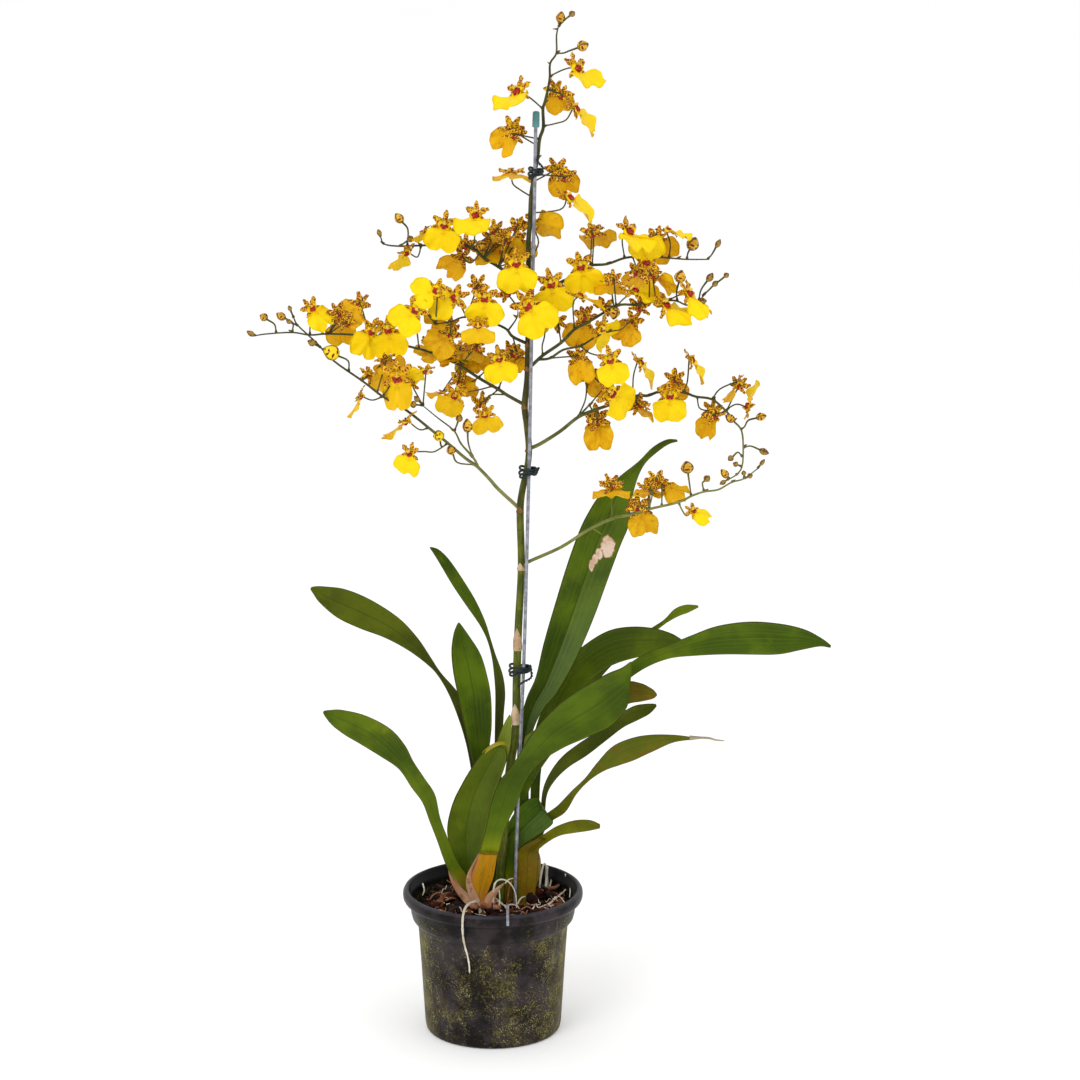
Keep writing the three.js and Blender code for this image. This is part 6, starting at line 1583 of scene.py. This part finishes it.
# Scars near the foot of leaf_tall: centre as [across, up, depth] and half size across and up
TALL_SCARS = [((82, 359.5, 27), (5.6, 8.2)), ((76, 353.2, 25), (2.8, 4.6)), ((73, 350, 25), (2.6, 4)),
              ((70.6, 345.8, 25), (2, 4.8))]
# Names for the leaves that aren't a plain green leaf, handed to Shape.make
LEAF_SLOTS = {"leaf_speckled": "yellow_leaf", "leaf_olive": "yellow_leaf", "leaf_low_right": "yellow_leaf",
              "leaf_dark_short": "dark_leaf"}
# What leaf_look gets for each leaf, in the order in which they are made
LEAF_LOOKS = {
    "leaf_left_upper": dict(dark=(52, 60, 2), light=(84, 94, 2), old=GREEN_LIGHT, stalk=(0.5, 0.78)),
    "leaf_left_lower": dict(dark=(54, 74, 2), light=(92, 112, 6), old=YELLOW_GREEN, base=OLIVE_SKIN,
                            base_top=0.112, soft=True),
    "leaf_back_upright": dict(dark=GREEN_DARK, light=GREEN, old=GREEN_LIGHT),
    "leaf_narrow": dict(dark=GREEN_DARK, light=GREEN, old=GREEN_LIGHT, stalk=(0.7, 0.95)),
    "leaf_tall": dict(dark=GREEN_DARK, light=GREEN, old=GREEN_LIGHT, painted_sheen=0.6, scars=TALL_SCARS),
    "leaf_arching": dict(dark=(60, 78, 0), light=(88, 106, 2), old=GREEN_LIGHT),
    "leaf_small_back": dict(dark=GREEN, light=GREEN_LIGHT, old=OLIVE),
    "leaf_far_right": dict(dark=(58, 80, 0), light=(96, 118, 4), old=GREEN_LIGHT),
    "leaf_front_broad": dict(dark=(66, 86, 6), light=(96, 112, 12), old=YELLOW_GREEN, painted_sheen=0.15),
    "leaf_big_front": dict(dark=(56, 76, 0), light=(84, 106, 2), old=GREEN_LIGHT, base=ORANGE_SKIN,
                           base_top=0.1385),
    "leaf_speckled": dict(dark=(88, 84, 8), light=(128, 112, 14), old=OLIVE, spots=0.6),
    "leaf_dark_petiole": dict(dark=(60, 72, 2), light=(90, 100, 8), old=GREEN, stalk=(0.5, 0.8)),
    "leaf_olive": dict(dark=(80, 92, 6), light=(110, 112, 14), old=OLIVE, spots=0.35),
    "leaf_low_right": dict(dark=(84, 94, 4), light=(124, 124, 12), old=YELLOW, spots=0.2),
    "leaf_dark_short": dict(dark=(46, 74, 0), light=(86, 116, 14), old=GREEN_LIGHT, painted_sheen=0.25),
}


def flower_looks():
    """In the order of the names FRONT to BRACT."""
    return [
        lip_look("lip_front", GOLD, (252, 206, 0), (255, 228, 10)),
        lip_look("lip_back", (236, 182, 4), (208, 144, 2), (244, 200, 16), 0.5, 0.8),
        lip_look("lip_rim", GOLD, (250, 208, 0), (255, 226, 10)),
        petal_look("tepal_front", (240, 186, 16), (92, 30, 4), 0.9, rim=(240, 190, 30)),
        petal_look("tepal_back", (222, 166, 18), (112, 48, 8), 0.82),
        speckled_look("callus_warts"),
        speckled_look("column_cream"),
        stem_look("stalk_green", ((100, 104, 42), (124, 122, 62)), ((64, 66, 22), (94, 90, 36)),
                  (0.39, 0.46), (48, 42, 16)),
        bud_look(),
        stem_look("branch_olive", ((116, 122, 50), (142, 140, 82)), ((54, 58, 18), (84, 82, 36)),
                  (0.41, 0.47), (40, 36, 12)),
        speckled_look("bract_brown"),
    ]


def leaf_extras():
    """The skins on the leaves: each its rows, keel and look, None for the leaf's own."""
    tan = leaf_look("dry_skin", dark=(160, 104, 70), light=(218, 176, 142), old=(138, 84, 54), spots=0.35,
                    rough=0.7)
    dry_tip = leaf_look("dry_tip", dark=(150, 130, 96), light=(190, 176, 150), old=(110, 92, 60), rough=0.7)
    olive = leaf_look("bulb_skin_olive", dark=(60, 66, 4), light=(122, 102, 12), old=(100, 58, 14),
                      spots=0.5)
    green = leaf_look("sheath_green", dark=(50, 76, 2), light=(88, 112, 8), old=OLIVE, base=BROWN_SKIN,
                      base_top=0.11)
    fresh = speckled_look("fresh_skin")
    return {
        "leaf_left_lower": [("skin_left", 1.0, tan)],
        "leaf_big_front": [("foot_front", -1.2, None), ("skin_edge", 0.4, tan), ("skin_right", 0.8, tan)],
        "leaf_olive": [("tip_dry", 0.3, dry_tip)],
        "leaf_front_broad": [("skin_top", 0.3, speckled_look("gold_edge")), ("shoot", 1.2, fresh)],
        "leaf_tall": [("stub", 1.6, fresh)],
        "leaf_low_right": [("sheath_old", -2.4, olive)],
        "leaf_dark_short": [("sheath_green", -1.2, green)],
    }


def make_plant():
    make_pot(pot_look())
    bark = [speckled_look(name) for name in ("bark_reddish", "bark_pale", "bark_dark", "bark_pink")]
    make_bark(bark)
    make_big_chips(bark)
    pale = speckled_look("root_white")
    for name in ROOTS:
        make_root(name, pale)
    make_rootlets([pale, speckled_look("rootlet_reddish"), speckled_look("twig_brown")])
    green = stem_look("stem_green", ((72, 86, 6), (102, 108, 20)), ((58, 56, 14), (86, 80, 32)), (0.32, 0.5),
                      (46, 38, 12))
    make_stem([green, speckled_look("bract_papery"), speckled_look("bract_node")])
    make_stake(wire_look(), speckled_look("cap_teal"))
    paper = speckled_look("tie_paper")
    for name in TIES:
        make_tie(name, paper)
    make_bulb("bulb_old", speckled_look("bulb_brown"))
    make_bulb("bulb_green", speckled_look("bulb_olive"))
    extras = leaf_extras()
    for name, colours in LEAF_LOOKS.items():
        look = leaf_look(name + "_look", **colours)
        make_leaf(name, look, LEAF_SLOTS.get(name, "leaf"), extras.get(name, ()))
    looks = flower_looks()
    for name in SPRAYS:
        make_spray(name, looks)


# ---------------------------------------------------------------- stage, light and camera
FLOOR_HALF = 25
FLOOR_DROP = 0.0002  # metres under the pot, so that the two don't share a plane
FLOOR_TONES = [(0.93, 0.93, 0.93, 1), (0.97, 0.97, 0.97, 1)]
FLOOR_GLOW = 0.1
SKY = 0.95
# Each lamp: its width, its power, where it stands and where it points, in metres
LAMPS = {
    "key": (1.2, 16, (-0.9, -1.6, 2.0), (0.03, 0, 0.4)),
    "fill": (1.6, 4, (1.6, -1.2, 1.0), (0.03, 0, 0.35)),
}


def make_stage():
    bpy.ops.mesh.primitive_plane_add(size=2 * FLOOR_HALF, location=(0, 0, -FLOOR_DROP))
    floor = bpy.context.object
    floor.name = "floor"
    look = Look("floor_paper", 0.9, 0.1)
    look.colour = look.mix(look.grain(3, 3), *FLOOR_TONES)
    look.fill(look.shader, {"Base Color": look.colour, "Emission Color": look.colour,
                            "Emission Strength": FLOOR_GLOW})
    floor.data.materials.append(look.material)


def place_in_scene(name, data, place, turn):
    holder = bpy.data.objects.new(name, data)
    holder.location = place
    holder.rotation_euler = turn
    bpy.context.scene.collection.objects.link(holder)
    return holder


def make_lights():
    world = bpy.data.worlds.new("soft_white")
    bpy.context.scene.world = world
    world.use_nodes = True
    background = world.node_tree.nodes["Background"]
    background.inputs["Color"].default_value = (1, 1, 1, 1)
    background.inputs["Strength"].default_value = SKY
    for name, (size, power, place, target) in LAMPS.items():
        lamp = bpy.data.lights.new(name, "AREA")
        lamp.shape = "DISK"
        lamp.size = size
        lamp.energy = power
        turn = (Vector(target) - Vector(place)).to_track_quat("-Z", "Y").to_euler()
        place_in_scene(name, lamp, place, turn)
    bpy.context.scene.view_settings.view_transform = "Standard"
    bpy.context.scene.view_settings.look = "None"


def make_camera():
    data = bpy.data.cameras.new("camera")
    data.lens = LENS
    data.sensor_width = SENSOR
    data.clip_end = 50
    data.dof.use_dof = False
    turn = (math.radians(90 - LOOK_DOWN), 0, 0)
    bpy.context.scene.camera = place_in_scene("camera", data, EYE * MM, turn)


make_plant()
make_stage()
make_lights()
make_camera()
